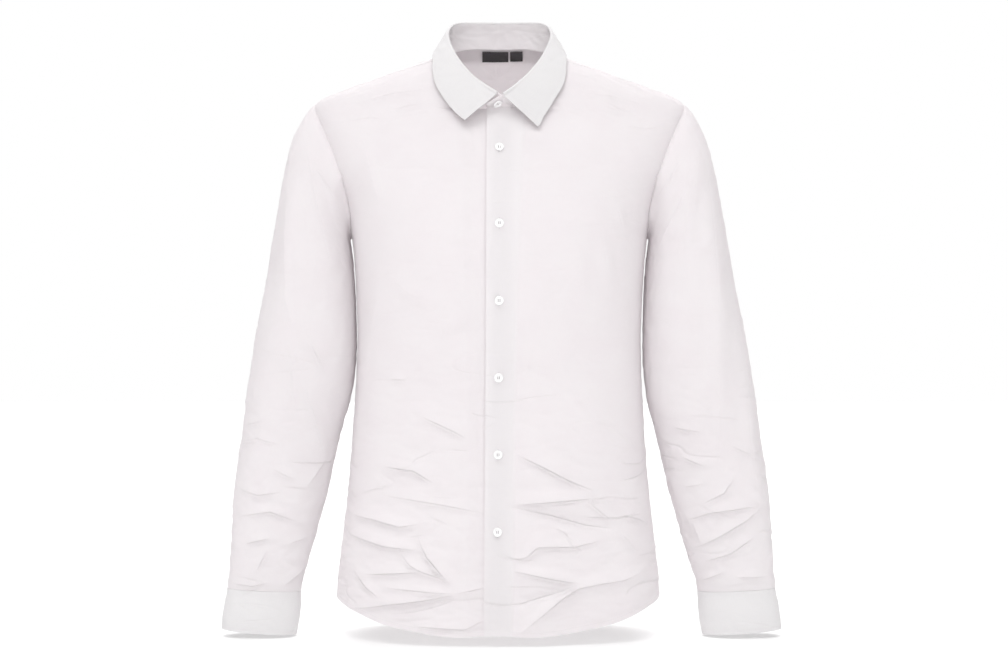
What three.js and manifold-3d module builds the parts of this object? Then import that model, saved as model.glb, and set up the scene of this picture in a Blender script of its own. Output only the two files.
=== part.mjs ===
// A crumpled long-sleeved button-up shirt, worn by nobody: it keeps the hollow shape of its wearer.
// Millimetres, +Z up. The front faces -Y and the shirt's own left side lies at +X.
// The origin is the middle of the neck opening at the height of the shoulders.
//
// Every cloth piece is a thin closed wall. The body's panels are laid out on one smooth torso form,
// the sleeves run through a table of rings, and the collar through a table of stations.

import * as THREE from 'three';
import { mergeVertices } from 'three/addons/utils/BufferGeometryUtils.js';
import Module from 'manifold-3d';

const wasm = await Module();
wasm.setup();

// ---------------------------------------------------------------- driving dimensions

const CLOTH_WALL = 2.0; // thickness of every cloth wall
const SEAM_GAP = 0.3; // between two pieces that are sewn together
const LAP_CLEARANCE = 1.0; // between the two layers where an edge laps over another
const LAY_GAP = 0.4; // between a panel and what is sewn flat on it

const BAND_HALF_WIDTH = 15.6; // half of the front's button band
const BAND_RISE = 0.7; // the band's folded layers stand this far out
const BAND_STEP = 2.4; // width of the step at the band's far edge
const SINK_START = 36; // the under front starts to sink here, measured from the centre front
const NECK_SINK_TURN = 160; // the neck seam's under side lies sunk from here to its end, in degrees

const NECK_HALF_WIDTH = 68;
const NECK_HALF_DEPTH = 57.3;
const NECK_MIDDLE_Y = -9.7;
const NECK_LAP_TURN = 193.3; // degrees round the neck from the centre back to the end of the lap
const YOKE_NECK_TURN = 96; // where the yoke's front seam meets the neck
const COLLAR_BUTTON_TURN = 183; // where the stand's button lies on its lap

const STAND_BELLY = 1.2; // how far the stand and the fall bulge out between their edges
const FALL_BELLY = 1.0;
const FALL_ROLL = 0.6; // how far the fall's rolled fold stands off the stand

const YOKE_SEAM_X = 229; // front end of the yoke's shoulder seam, at the armhole
const YOKE_SEAM_Y = -14;
const YOKE_BACK_Z = -78; // height of the yoke's back seam at the centre back

const SHOULDER_TIP_Z = -58;
const UNDERARM_Z = -222;
const CHEST_ROW_Z = -200; // height at the centre front of the row that starts at the underarm

const CUFF_LAP_TURN = 32; // degrees by which the cuff laps over itself
const CUFF_LAP_MIDDLE = 250; // degrees round the cuff of the lap's middle, at the back of the arm
const CUFF_BUTTON_RING = { outerZ: -682, innerZ: -686 }; // height of the cuff's button

const BUTTON_RADIUS = 5.6;
const BUTTON_HEIGHT = 2.3;
const BUTTON_RIM = 1.9; // width of the raised rim, with its rounding
const BUTTON_DISH = 0.9; // depth of the dished middle below the rim
const BUTTON_HOLE_RADIUS = 0.75;
const BUTTON_HOLE_SPREAD = 1.5; // from the button's middle to each hole
const TOP_BUTTON_Z = -118;
const BUTTON_PITCH = 92.3;
const FRONT_BUTTONS = 6;

const LABEL_WALL = 1.0;
const LABEL_DROP = 0.6; // from the neck seam down to the labels' upper edges

// How finely the pieces are divided
const FRONT_COLUMNS = 11;
const BAND_COLUMNS = 2; // the columns up to the far side of the band's step
const SKIRT_ROWS = 28; // hem to underarm
const CHEST_ROWS = 6; // underarm to the centre front of the neck
const NECK_ROWS = 6; // along the neck seam of a front
const BACK_COLUMNS = 16;
const BACK_ARM_ROWS = 9;
const SHOULDER_STEPS = 4; // the yoke's part of an armhole
const FALL_ROWS = 5;
const BUTTON_SIDES = 14;
const HOLE_SIDES = 6;

const ROUND = 2.4; // how square the torso's cross-sections are; 2 is an ellipse
const SLEEVE_ROUND = 2.2;
const DEGREE = Math.PI / 180;

const COLOURS = { body: 0xf1ecef, trim: 0xeeecee, button: 0xf4f2f3, label: 0x2c2a2c };

// ---------------------------------------------------------------- tables

const named = (columns, rows) => rows.map((row) => (
  Object.fromEntries(columns.map((name, i) => [name, row[i]]))));

// The torso form, from the neck down to the hem: half width, depth in front of and behind the side seams.
const TORSO = named(['z', 'half', 'front', 'back'], [
  [24, 44, 3, 40],
  [16, 54, 8, 51],
  [8, 66, 14, 58],
  [0, 87, 22, 65],
  [-8, 109, 29, 71],
  [-16, 130.5, 35.5, 76],
  [-24, 152, 41, 80],
  [-32, 174, 46, 84],
  [-40, 196, 50, 87],
  [-48, 216.5, 54, 90],
  [-56, 229, 58, 92.5],
  [-66, 233, 63, 95],
  [-80, 231, 71.5, 98],
  [-100, 225, 84, 101],
  [-136, 213, 102, 106],
  [-152, 204, 108, 108],
  [-180, 192, 115, 110],
  [-208, 186, 119, 111],
  [-250, 181, 120, 109],
  [-300, 178, 118, 103],
  [-350, 176.5, 115, 96],
  [-400, 178, 112, 91],
  [-450, 181, 111, 89],
  [-500, 184.5, 111, 91],
  [-550, 189, 112, 96],
  [-600, 195, 114, 103],
  [-650, 200.5, 116, 109],
  [-690, 200, 117, 112],
  [-740, 198, 117, 113],
]);

// The skirt leans a little to the shirt's right as it hangs.
const LEAN = named(['z', 'shift'], [
  [-740, -2.5],
  [-650, -2.5],
  [-450, -1.2],
  [-250, 0],
  [24, 0],
]);

// The shirt-tail hem: height at each turn from the centre front (0) to the centre back (180).
const HEM = named(['turn', 'z'], [
  [-8, -704],
  [0, -704],
  [12, -705.5],
  [28, -698.5],
  [41, -692],
  [50, -685.5],
  [60, -678.5],
  [75, -671],
  [90, -668],
  [105, -671],
  [120, -680],
  [135, -691],
  [150, -703],
  [165, -712],
  [180, -715],
]);

// The armhole below the yoke, in front and behind: distance from the centre and height.
const ARMHOLE_FRONT = named(['x', 'z'], [
  [222, -80],
  [210, -106],
  [197, -140],
  [188, -172],
  [184, -200],
]);
const ARMHOLE_BACK = named(['x', 'z'], [
  [188.5, -200],
  [193.5, -172],
  [202.5, -140],
  [213, -110],
  [220, -90],
]);
const SHOULDER_BACK = { x: 227.5, z: -72 };

// The left sleeve: the outer and inner ends of each ring seen from the front, its half depth, and y of
// its middle.
const SLEEVE = named(['outerX', 'outerZ', 'innerX', 'innerZ', 'depth', 'y'], [
  [231, -58, 184.5, -222, 48, -2],
  [241, -68, 186.4, -225, 54, -2],
  [252, -88, 186, -229, 58, -2],
  [260, -108, 185, -234, 60, -2],
  [267, -138, 184.2, -240, 61, -3],
  [273, -167, 183.3, -247, 62, -3],
  [279, -199, 182.3, -256, 62, -3],
  [285.5, -235, 181.4, -268, 62, -4],
  [292, -275, 179.8, -296, 61.5, -4],
  [299, -310, 178.7, -326, 61, -5],
  [306, -345, 178.2, -360, 60, -6],
  [312, -384, 180.3, -398, 57, -7],
  [317, -412, 184.5, -428, 54, -8],
  [320.5, -438, 191.5, -455, 51, -9],
  [324, -466, 198, -482, 48, -10],
  [328, -492, 204, -508, 45.5, -11],
  [331.5, -517, 209.5, -533, 43, -12],
  [334.5, -543, 216, -557, 41, -13],
  [336.5, -568, 222.5, -580, 39, -14],
  [338, -592, 228.5, -601, 37, -15],
  [339, -613, 234, -620, 35, -16],
  [340, -631, 239.5, -636, 33, -17],
  [341.5, -645, 243.5, -649, 30.5, -18],
  [342, -656.5, 245.5, -660.5, 28, -18],
]);

// How much slimmer the right sleeve and cuff hang than the left ones: at the outer and at the inner side.
const RIGHT_SLIMMER = named(['z', 'outer', 'inner'], [
  [-720, 5, 0.5],
  [-660, 4.5, 0.5],
  [-600, 5.5, 2.5],
  [-520, 4, 3],
  [-440, 3.5, 3.5],
  [-390, 2.5, 1],
  [-340, 2, 0],
  [-240, 1.5, 0],
  [-120, 0, 0],
  [0, 0, 0],
]);

// The left cuff, its rings given in the same way.
const CUFF = named(['outerX', 'outerZ', 'innerX', 'innerZ', 'depth', 'y'], [
  [342, -656.8, 245.5, -660.8, 28, -18],
  [345.5, -675, 246, -679, 28.5, -18.5],
  [348, -690, 248, -696, 29, -19],
  [349.4, -707, 251, -714, 29.5, -19.5],
]);

// The collar, from the centre back (0) round to the end of the stand's lap: the fold line on top of the
// stand, and the edge of the fall. The fall ends at the row before the last.
const COLLAR = named(['turn', 'foldX', 'foldY', 'foldZ', 'edgeX', 'edgeY', 'edgeZ'], [
  [0, 0, 50, 52, 0, 67, 12],
  [30, 32, 45, 51.5, 38, 62, 11],
  [60, 55, 28, 48, 67, 41, 9],
  [86, 64.2, 8, 36, 83, 8, 7.5],
  [104, 61, -12, 18, 83.2, -20, -1],
  [128, 50, -36, -5, 79.5, -50, -33],
  [146, 36, -53, -24, 66.5, -66, -57],
  [162, 20, -67, -40, 54, -77, -73],
  [177, 4.2, -78, -52, 42, -84, -83.5],
  [193.3, -15.8, -77, -64, 0, 0, 0],
]);
const LEFT_POINT_DROP = { x: 4.5, y: -1, z: -8 }; // the left collar point hangs lower than the right one
const POINT_DROP_TURN = 140; // where that drop starts
const POINT_SHIFT_TURN = 166; // where its sideways part starts
const FALL_END_TURN = 177; // where both are full

// The neck labels: both ends of each upper edge from the centre back, and how far it hangs down.
const LABELS = named(['name', 'fromX', 'toX', 'length'], [
  ['label_main', -22.5, 11.3, 22],
  ['label_size', 13.6, 29.9, 20],
]);

// The largest folds: ends of each ridge seen from the front, how far it stands out and how far it reaches.
const RIDGE = ['x0', 'z0', 'x1', 'z1', 'rise', 'reach'];
const FRONT_FOLDS = named(RIDGE, [
  [-139, -503, -80, -521, 3.6, 20],
  [-178, -562, -97, -572, 4.2, 18],
  [-176, -588, -101, -602, 4.8, 18],
  [-97, -586, -57, -643, 4.2, 18],
  [-145, -630, -92, -628, 3.4, 17],
  [-177, -672, -51, -652, 4.8, 18],
  [-95, -446, -41, -467, 2.5, 20],
  [23, -486, 115, -530, 3.6, 22],
  [22, -543, 130, -536, 5.0, 18],
  [20, -560, 138, -580, -3.4, 18],
  [22, -618, 96, -636, 4.8, 18],
  [22, -668, 96, -647, -3.4, 17],
  [27, -699, 73, -661, 4.2, 17],
  [73, -661, 172, -633, 4.8, 18],
  [45, -598, 124, -591, 3.4, 17],
  [148, -562, 180, -576, 2.8, 17],
  [-132, -275, -83, -303, 2.0, 24],
  [94, -403, 120, -440, 2.0, 22],
]);
const BACK_FOLDS = named(RIDGE, [
  [-150, -492, -40, -520, 4.2, 24],
  [-20, -470, 90, -500, 3.6, 24],
  [-165, -560, -60, -545, 4.5, 22],
  [-40, -560, 60, -585, 4.8, 22],
  [80, -545, 165, -570, 4.2, 22],
  [-150, -625, -30, -605, 4.5, 22],
  [10, -640, 120, -618, 4.8, 22],
  [-100, -668, 20, -690, 4.2, 22],
  [60, -690, 160, -650, 3.6, 22],
  [-90, -400, -20, -430, 2.8, 26],
  [30, -380, 110, -410, 2.8, 26],
]);
const SLEEVE_FRONT_FOLDS = named(RIDGE, [
  [-245, -105, -208, -260, 3.6, 18],
  [-265, -150, -266, -320, 3.4, 20],
  [-256, -330, -246, -440, 3.4, 20],
  [-236, -505, -215, -540, 3.6, 18],
  [-315, -600, -285, -590, 3.6, 18],
  [-300, -450, -320, -490, 3.1, 18],
  [-275, -640, -245, -612, 3.6, 16],
  [-330, -565, -290, -545, 2.8, 16],
  [240, -115, 204, -250, 3.6, 18],
  [262, -140, 272, -330, 3.4, 20],
  [300, -350, 318, -470, 3.4, 20],
  [228, -500, 262, -512, 3.4, 16],
  [250, -560, 292, -528, 3.9, 18],
  [244, -590, 330, -560, 4.2, 18],
  [252, -622, 312, -588, 3.9, 17],
]);
const SLEEVE_BACK_FOLDS = named(RIDGE, [
  [-270, -130, -225, -270, 3.9, 20],
  [-285, -300, -262, -420, 3.4, 20],
  [-320, -470, -230, -500, 4.2, 20],
  [-325, -540, -240, -530, 4.5, 20],
  [-300, -600, -245, -580, 3.9, 18],
  [270, -130, 228, -260, 3.9, 20],
  [290, -310, 255, -430, 3.4, 20],
  [318, -480, 225, -505, 4.2, 20],
  [322, -555, 240, -535, 4.5, 20],
  [312, -612, 250, -590, 3.9, 18],
]);

// ---------------------------------------------------------------- interpolation

const clamp01 = (value) => THREE.MathUtils.clamp(value, 0, 1);
const mix = THREE.MathUtils.lerp;
const spread = (count) => Array.from({ length: count + 1 }, (_, i) => i / count);

// The value of one column, on a smooth curve through the rows, whose key goes up or down throughout.
function columnAt(rows, key, name, at) {
  const rising = rows[1][key] > rows[0][key] ? 1 : -1;
  const last = rows.length - 1;
  let i = 0;
  while (i < last - 1 && rising * at > rising * rows[i + 1][key]) i += 1;
  const slope = (j) => {
    const before = rows[Math.max(j - 1, 0)];
    const after = rows[Math.min(j + 1, last)];
    return (after[name] - before[name]) / (after[key] - before[key]);
  };
  const span = rows[i + 1][key] - rows[i][key];
  const t = clamp01((at - rows[i][key]) / span);
  const rise = t * t * (3 - 2 * t);
  const start = t * (1 - t) * (1 - t) * span * slope(i);
  const end = t * t * (1 - t) * span * slope(i + 1);
  return mix(rows[i][name], rows[i + 1][name], rise) + start - end;
}

// Each row of the torso form also gets its distance down the side of the body.
TORSO.forEach((row, i) => {
  const above = TORSO[i - 1];
  row.down = above ? above.down + Math.hypot(row.half - above.half, row.z - above.z) : 0;
});
const torsoAt = (name, down) => columnAt(TORSO, 'down', name, down);

// The distance down, found by halving, where `below` turns true.
function searchDown(below) {
  let low = 0;
  let high = TORSO[TORSO.length - 1].down;
  for (let step = 0; step < 40; step += 1) {
    const middle = (low + high) / 2;
    if (below(middle)) high = middle;
    else low = middle;
  }
  return (low + high) / 2;
}
const downOfZ = (z) => searchDown((down) => torsoAt('z', down) < z);

// ---------------------------------------------------------------- places on the torso form
// A spot on the form is a turn in radians, from the centre front towards the shirt's left, and a
// distance down.

const leanAt = (z) => columnAt(LEAN, 'z', 'shift', z);
const powered = (value) => Math.sign(value) * Math.abs(value) ** (2 / ROUND);

function formPoint({ turn, down }) {
  const z = torsoAt('z', down);
  const depth = Math.cos(turn) > 0 ? torsoAt('front', down) : torsoAt('back', down);
  const x = torsoAt('half', down) * powered(Math.sin(turn)) + leanAt(z);
  return new THREE.Vector3(x, -depth * powered(Math.cos(turn)), z);
}

function formNormal({ turn, down }) {
  const step = 0.01;
  const round = formPoint({ turn: turn + step, down }).sub(formPoint({ turn: turn - step, down }));
  const along = formPoint({ turn, down: down + 1 }).sub(formPoint({ turn, down: Math.max(down - 1, 0) }));
  return new THREE.Vector3().crossVectors(along, round).normalize();
}

// The spot at a distance from the centre and a height, on the front or on the back.
function spotAt(x, z, behind = false) {
  const down = downOfZ(z);
  const share = Math.min(Math.abs(x) / torsoAt('half', down), 1);
  const turn = Math.asin(share ** (ROUND / 2));
  return { turn: Math.sign(x) * (behind ? Math.PI - turn : turn), down };
}

// The spot on the shoulders that is seen at (x, y) from above.
function spotBelow(x, y) {
  const reach = (down) => {
    const depth = y < 0 ? torsoAt('front', down) : torsoAt('back', down);
    return (Math.abs(x) / torsoAt('half', down)) ** ROUND + (Math.abs(y) / depth) ** ROUND;
  };
  const shoulderEnd = downOfZ(-66);
  const down = searchDown((at) => at > shoulderEnd || reach(at) < 1);
  const sine = (Math.abs(x) / torsoAt('half', down)) ** (ROUND / 2);
  const cosine = (Math.abs(y) / (y < 0 ? torsoAt('front', down) : torsoAt('back', down))) ** (ROUND / 2);
  const turn = Math.atan2(sine, cosine);
  return { turn: Math.sign(x || 1) * (y < 0 ? turn : Math.PI - turn), down };
}

// The same spot on the shirt's other side.
const onSide = (side) => ({ turn, down }) => ({ turn: side * turn, down });

// ---------------------------------------------------------------- folds

const FOLD_END = 0.35; // how high a fold still is at its ends, as a share of its middle

// How far the cloth stands out at a place seen from the front: each fold is a soft ridge between two points
// that fades out at its ends, or a trough where its rise is negative.
function foldRise(folds, x, z) {
  let rise = 0;
  for (const fold of folds) {
    const dx = fold.x1 - fold.x0;
    const dz = fold.z1 - fold.z0;
    const along = ((x - fold.x0) * dx + (z - fold.z0) * dz) / (dx * dx + dz * dz);
    const t = clamp01(along);
    const away = Math.hypot(x - fold.x0 - t * dx, z - fold.z0 - t * dz) / fold.reach;
    const fullness = mix(FOLD_END, 1, 4 * t * (1 - t));
    if (away < 1) rise += fold.rise * (1 - away * away) ** 2 * fullness;
  }
  return rise;
}

// The cloth at a spot of the body: the outer face and the direction out of it.
function bodyCloth(spot) {
  const normal = formNormal(spot);
  const point = formPoint(spot);
  const folds = Math.cos(spot.turn) > 0 ? FRONT_FOLDS : BACK_FOLDS;
  const fade = clamp01(Math.abs(Math.cos(spot.turn)) / 0.35);
  point.addScaledVector(normal, fade * foldRise(folds, point.x, point.z));
  return { point, normal };
}

// ---------------------------------------------------------------- walls

// A closed wall between an outer and an inner grid of points. `loop` joins the last column to the first.
function wallGeometry(outer, inner, loop = false) {
  const rows = outer.length;
  const columns = outer[0].length;
  const positions = [];
  [outer, inner].forEach((grid) => grid.flat().forEach((point) => positions.push(point.x, point.y, point.z)));
  const index = [];
  const at = (layer, row, column) => layer * rows * columns + row * columns + (column % columns);
  const quad = (a, b, c, d) => index.push(a, b, c, a, c, d);
  const lastRow = rows - 1;
  const lastColumn = loop ? columns : columns - 1;
  for (let row = 0; row < lastRow; row += 1) {
    for (let column = 0; column < lastColumn; column += 1) {
      const next = (column + 1) % columns;
      const down = outer[row][column].distanceTo(outer[row + 1][next]);
      const up = outer[row][next].distanceTo(outer[row + 1][column]);
      // Both layers are split along the shorter diagonal of the outer face.
      const corners = [[row, column], [row, next], [row + 1, next], [row + 1, column]];
      if (up < down) corners.push(corners.shift());
      quad(...corners.map(([j, i]) => at(0, j, i)));
      const [a, b, c, d] = corners.map(([j, i]) => at(1, j, i));
      quad(a, d, c, b);
    }
  }
  for (let column = 0; column < lastColumn; column += 1) {
    const next = column + 1;
    quad(at(1, 0, column), at(1, 0, next), at(0, 0, next), at(0, 0, column));
    quad(at(0, lastRow, column), at(0, lastRow, next), at(1, lastRow, next), at(1, lastRow, column));
  }
  for (let row = 0; row < lastRow && !loop; row += 1) {
    const next = row + 1;
    const end = columns - 1;
    quad(at(0, row, 0), at(0, next, 0), at(1, next, 0), at(1, row, 0));
    quad(at(1, row, end), at(1, next, end), at(0, next, end), at(0, row, end));
  }
  const geometry = new THREE.BufferGeometry();
  geometry.setAttribute('position', new THREE.Float32BufferAttribute(positions, 3));
  geometry.setIndex(signedVolume(positions, index) < 0 ? index.reverse() : index);
  return geometry;
}

function signedVolume(positions, index) {
  const corner = (i) => new THREE.Vector3().fromArray(positions, index[i] * 3);
  let volume = 0;
  for (let i = 0; i < index.length; i += 3) volume += corner(i).dot(corner(i + 1).cross(corner(i + 2))) / 6;
  return volume;
}

// Draws the edges of a grid back by half a seam gap, so that two pieces that share a seam stay apart.
function drawBack(grid, loop = false) {
  const pull = (point, next) => {
    const step = next.clone().sub(point);
    return point.clone().addScaledVector(step.normalize(), SEAM_GAP / 2);
  };
  const rows = grid.length;
  const drawn = grid.map((row) => row.slice());
  for (let column = 0; column < grid[0].length; column += 1) {
    drawn[0][column] = pull(drawn[0][column], grid[1][column]);
    drawn[rows - 1][column] = pull(drawn[rows - 1][column], grid[rows - 2][column]);
  }
  if (loop) return drawn;
  return drawn.map((row) => {
    const last = row.length - 1;
    return row.map((point, i) => {
      if (i === 0) return pull(point, row[1]);
      return i === last ? pull(point, row[last - 1]) : point;
    });
  });
}

// A patch of spots between four edges, each an array of spots: bottom and top run from left to right,
// left and right run from bottom to top.
// `shares` places the columns between left and right.
function patch(bottom, top, left, right, shares = spread(bottom.length - 1)) {
  const columns = bottom.length - 1;
  const rows = left.length - 1;
  const blend = (name, i, j) => {
    const u = shares[i];
    const v = j / rows;
    const across = mix(left[j][name], right[j][name], u);
    const upward = mix(bottom[i][name], top[i][name], v);
    const lower = mix(bottom[0][name], bottom[columns][name], u);
    const upper = mix(top[0][name], top[columns][name], u);
    const corners = mix(lower, upper, v);
    return across + upward - corners;
  };
  return left.map((_, j) => bottom.map((__, i) => (
    { turn: blend('turn', i, j), down: blend('down', i, j) })));
}

// A panel of the body as a wall. `lift` says how far the wall is moved out at a row and column, and
// `thicken` how much thicker it is there.
function panelGeometry(spots, lift = () => 0, thicken = () => 0) {
  const cloth = spots.map((row) => row.map(bodyCloth));
  const layer = (depth) => cloth.map((row, j) => row.map(({ point, normal }, i) => (
    point.clone().addScaledVector(normal, depth(j, i)))));
  const outer = layer((j, i) => lift(j, i) + thicken(j, i));
  const inner = layer((j, i) => lift(j, i) - CLOTH_WALL);
  return wallGeometry(drawBack(outer), drawBack(inner));
}

// ---------------------------------------------------------------- seams of the body

const neckTurns = [
  ...spread(NECK_ROWS).map((t) => mix(-NECK_LAP_TURN, -YOKE_NECK_TURN, t)).slice(0, -1),
  ...spread(2 * SHOULDER_STEPS + BACK_COLUMNS).map((t) => mix(-YOKE_NECK_TURN, YOKE_NECK_TURN, t)),
  ...spread(NECK_ROWS).map((t) => mix(YOKE_NECK_TURN, NECK_LAP_TURN, t)).slice(1),
];

function neckSpot(turn) {
  const x = NECK_HALF_WIDTH * Math.sin(turn * DEGREE);
  const y = NECK_MIDDLE_Y + NECK_HALF_DEPTH * Math.cos(turn * DEGREE);
  return spotBelow(x, y);
}

// The yoke's front seam, from the neck to the armhole.
function shoulderSeam(t) {
  const x = mix(NECK_HALF_WIDTH * Math.sin(YOKE_NECK_TURN * DEGREE), YOKE_SEAM_X, t);
  const y = mix(NECK_MIDDLE_Y + NECK_HALF_DEPTH * Math.cos(YOKE_NECK_TURN * DEGREE), YOKE_SEAM_Y, t);
  return spotBelow(x, y);
}

const side = { turn: Math.PI / 2 };
const hemSpot = (turn) => ({ turn, down: downOfZ(columnAt(HEM, 'turn', 'z', Math.abs(turn) / DEGREE)) });
const hemSide = hemSpot(side.turn);
const underarm = { ...side, down: downOfZ(UNDERARM_Z) };
const shoulderTip = { ...side, down: downOfZ(SHOULDER_TIP_Z) };

// Rows lie closer together near the hem, where the cloth is most folded.
const skirtShares = spread(SKIRT_ROWS).map((t) => t ** 1.15);
const sideSeam = skirtShares.map((t) => ({ ...side, down: mix(hemSide.down, underarm.down, t) }));

// The armhole as a closed curve through its spots: shoulder tip, front, underarm, back.
const armholeStops = [
  shoulderTip,
  shoulderSeam(1),
  ...ARMHOLE_FRONT.map(({ x, z }) => spotAt(x, z)),
  underarm,
  ...ARMHOLE_BACK.map(({ x, z }) => spotAt(x, z, true)),
  spotAt(SHOULDER_BACK.x, SHOULDER_BACK.z, true),
];
const FRONT_STOP = 1;
const UNDERARM_STOP = FRONT_STOP + ARMHOLE_FRONT.length + 1;
const YOKE_BACK_STOP = UNDERARM_STOP + ARMHOLE_BACK.length;
const TURN_SCALE = 200; // makes a turn about as long as the distance it covers
const armholeCurve = new THREE.CatmullRomCurve3(
  armholeStops.map(({ turn, down }) => new THREE.Vector3(turn * TURN_SCALE, down, 0)), true);

// Spots of the armhole between two of its stops, in the order given.
function armholeSpots(from, to, steps) {
  return spread(steps).map((t) => {
    const share = mix(from, to, t) / armholeStops.length;
    const place = armholeCurve.getPoint(((share % 1) + 1) % 1);
    return { turn: place.x / TURN_SCALE, down: place.y };
  });
}
const armFront = armholeSpots(UNDERARM_STOP, FRONT_STOP, CHEST_ROWS + NECK_ROWS);
const armTop = armholeSpots(FRONT_STOP, YOKE_BACK_STOP - armholeStops.length, SHOULDER_STEPS);
const armBack = armholeSpots(UNDERARM_STOP, YOKE_BACK_STOP, BACK_ARM_ROWS);

// ---------------------------------------------------------------- body panels

const turnOfX = (x, down) => Math.sign(x) * Math.asin((Math.abs(x) / torsoAt('half', down)) ** (ROUND / 2));

// The columns of a front: both edges of the band, the step beside it, then even ones to the side seam.
const frontShares = (() => {
  const { down } = hemSpot(0);
  const edge = turnOfX(-BAND_HALF_WIDTH, down);
  const shareOf = (x) => (turnOfX(x, down) - edge) / (side.turn - edge);
  const closing = (t) => 1 - (1 - t) ** 1.3; // closer together towards the side seam and the armhole
  const panel = spread(FRONT_COLUMNS - BAND_COLUMNS - 1).map((t) => mix(shareOf(SINK_START), 1, closing(t)));
  return [0, shareOf(BAND_HALF_WIDTH), shareOf(BAND_HALF_WIDTH + BAND_STEP), ...panel];
})();

// A front's spots, for the shirt's left side; the right side mirrors them.
function frontSpots() {
  const bandTurn = (down) => turnOfX(-BAND_HALF_WIDTH, down);
  const edgeSpot = (down) => ({ turn: bandTurn(down), down });
  const hemDown = hemSpot(0).down;
  const chestDown = downOfZ(CHEST_ROW_Z);
  const neckFront = neckSpot(NECK_LAP_TURN);
  const neckline = spread(NECK_ROWS).map((t) => neckSpot(mix(NECK_LAP_TURN, YOKE_NECK_TURN, t)));
  const left = [
    ...skirtShares.map((t) => edgeSpot(mix(hemDown, chestDown, t))),
    ...spread(CHEST_ROWS).slice(1, -1).map((t) => edgeSpot(mix(chestDown, neckFront.down, t))),
    ...neckline,
  ];
  const right = [...sideSeam, ...armFront.slice(1)];
  const bottom = frontShares.map((t) => hemSpot(mix(bandTurn(hemDown), side.turn, t)));
  const top = frontShares.map(shoulderSeam);
  return patch(bottom, top, left, right, frontShares);
}

function backSpots() {
  const left = [...sideSeam, ...armBack.slice(1)].map(onSide(1));
  const right = left.map(({ turn, down }) => ({ turn: 2 * Math.PI - turn, down }));
  const bottom = spread(BACK_COLUMNS).map((t) => {
    const turn = mix(side.turn, 2 * Math.PI - side.turn, t);
    return { turn, down: hemSpot(Math.min(turn, 2 * Math.PI - turn)).down };
  });
  return patch(bottom, yokeBackSeam(), left, right);
}

// The yoke's back seam, from the shirt's left armhole to its right.
function yokeBackSeam() {
  const end = armBack[BACK_ARM_ROWS];
  const middleDown = downOfZ(YOKE_BACK_Z);
  return spread(BACK_COLUMNS).map((t) => ({
    turn: mix(end.turn, 2 * Math.PI - end.turn, t),
    down: mix(end.down, middleDown, Math.sin(Math.PI * t) ** 0.8),
  }));
}

// The yoke's spots: rows run round it from its left front seam to its right one, columns from neck to edge.
function yokeSpots() {
  const round = ({ turn, down }) => ({ turn: turn < 0 ? turn + 2 * Math.PI : turn, down });
  const opposite = ({ turn, down }) => ({ turn: 2 * Math.PI - turn, down });
  const outer = [...armTop.slice(0, -1), ...yokeBackSeam(), ...armTop.slice(0, -1).reverse().map(opposite)];
  const steps = outer.length - 1;
  const inner = spread(steps).map((t) => round(neckSpot(mix(YOKE_NECK_TURN, -YOKE_NECK_TURN, t))));
  const seam = frontShares.map(shoulderSeam);
  return patch(seam, seam.map(opposite), inner, outer, frontShares);
}

// ---------------------------------------------------------------- collar

const smoothStep = (from, to, value) => THREE.MathUtils.smoothstep(value, from, to);

// How deep the under layer of the neck seam lies: it sinks beneath the lap of the shirt's left side.
const LAP_DEPTH = CLOTH_WALL + LAP_CLEARANCE;
const neckSink = (turn) => (turn < -NECK_SINK_TURN ? LAP_DEPTH : 0);

const collarAt = (turn, kind) => {
  const at = Math.abs(turn);
  const value = (axis) => columnAt(COLLAR, 'turn', kind + axis, at);
  return new THREE.Vector3(Math.sign(turn) * value('X'), value('Y'), value('Z'));
};

// The neck seam at a turn: where the stand starts, just off the body's edge.
function neckSeam(turn) {
  const spot = neckSpot(turn);
  const ahead = formPoint(neckSpot(turn + 2)).sub(formPoint(neckSpot(turn - 2))).normalize();
  const { point, normal } = bodyCloth(spot);
  const intoHole = new THREE.Vector3().crossVectors(ahead, normal).normalize();
  const middle = new THREE.Vector3(0, NECK_MIDDLE_Y, point.z);
  if (intoHole.dot(middle.sub(point)) < 0) intoHole.negate();
  return { point, normal, intoHole };
}

// The stand at a turn: its outer and inner faces at the seam and at the fold line.
function standSection(turn) {
  const { point, normal, intoHole } = neckSeam(turn);
  const foot = point.clone().addScaledVector(intoHole, SEAM_GAP).addScaledVector(normal, SEAM_GAP);
  const top = collarAt(turn, 'fold');
  const up = top.clone().sub(foot).normalize();
  const round = collarAt(turn + 2, 'fold').sub(collarAt(turn - 2, 'fold')).normalize();
  const out = new THREE.Vector3().crossVectors(round, up).normalize();
  const centre = new THREE.Vector3(0, NECK_MIDDLE_Y, foot.z);
  if (out.dot(foot.clone().sub(centre)) < 0) out.negate();
  return { foot, top, up, out };
}

function standGeometry() {
  const rings = [0, 0.5, 1].map((height) => neckTurns.map((turn) => {
    const { foot, top, out } = standSection(turn);
    const belly = STAND_BELLY * Math.sin(Math.PI * height);
    return { point: foot.clone().lerp(top, height).addScaledVector(out, belly), out, turn };
  }));
  const layer = (depth) => rings.map((ring) => ring.map(({ point, out, turn }) => (
    point.clone().addScaledVector(out, -depth - neckSink(turn)))));
  return wallGeometry(layer(0), layer(CLOTH_WALL));
}

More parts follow.
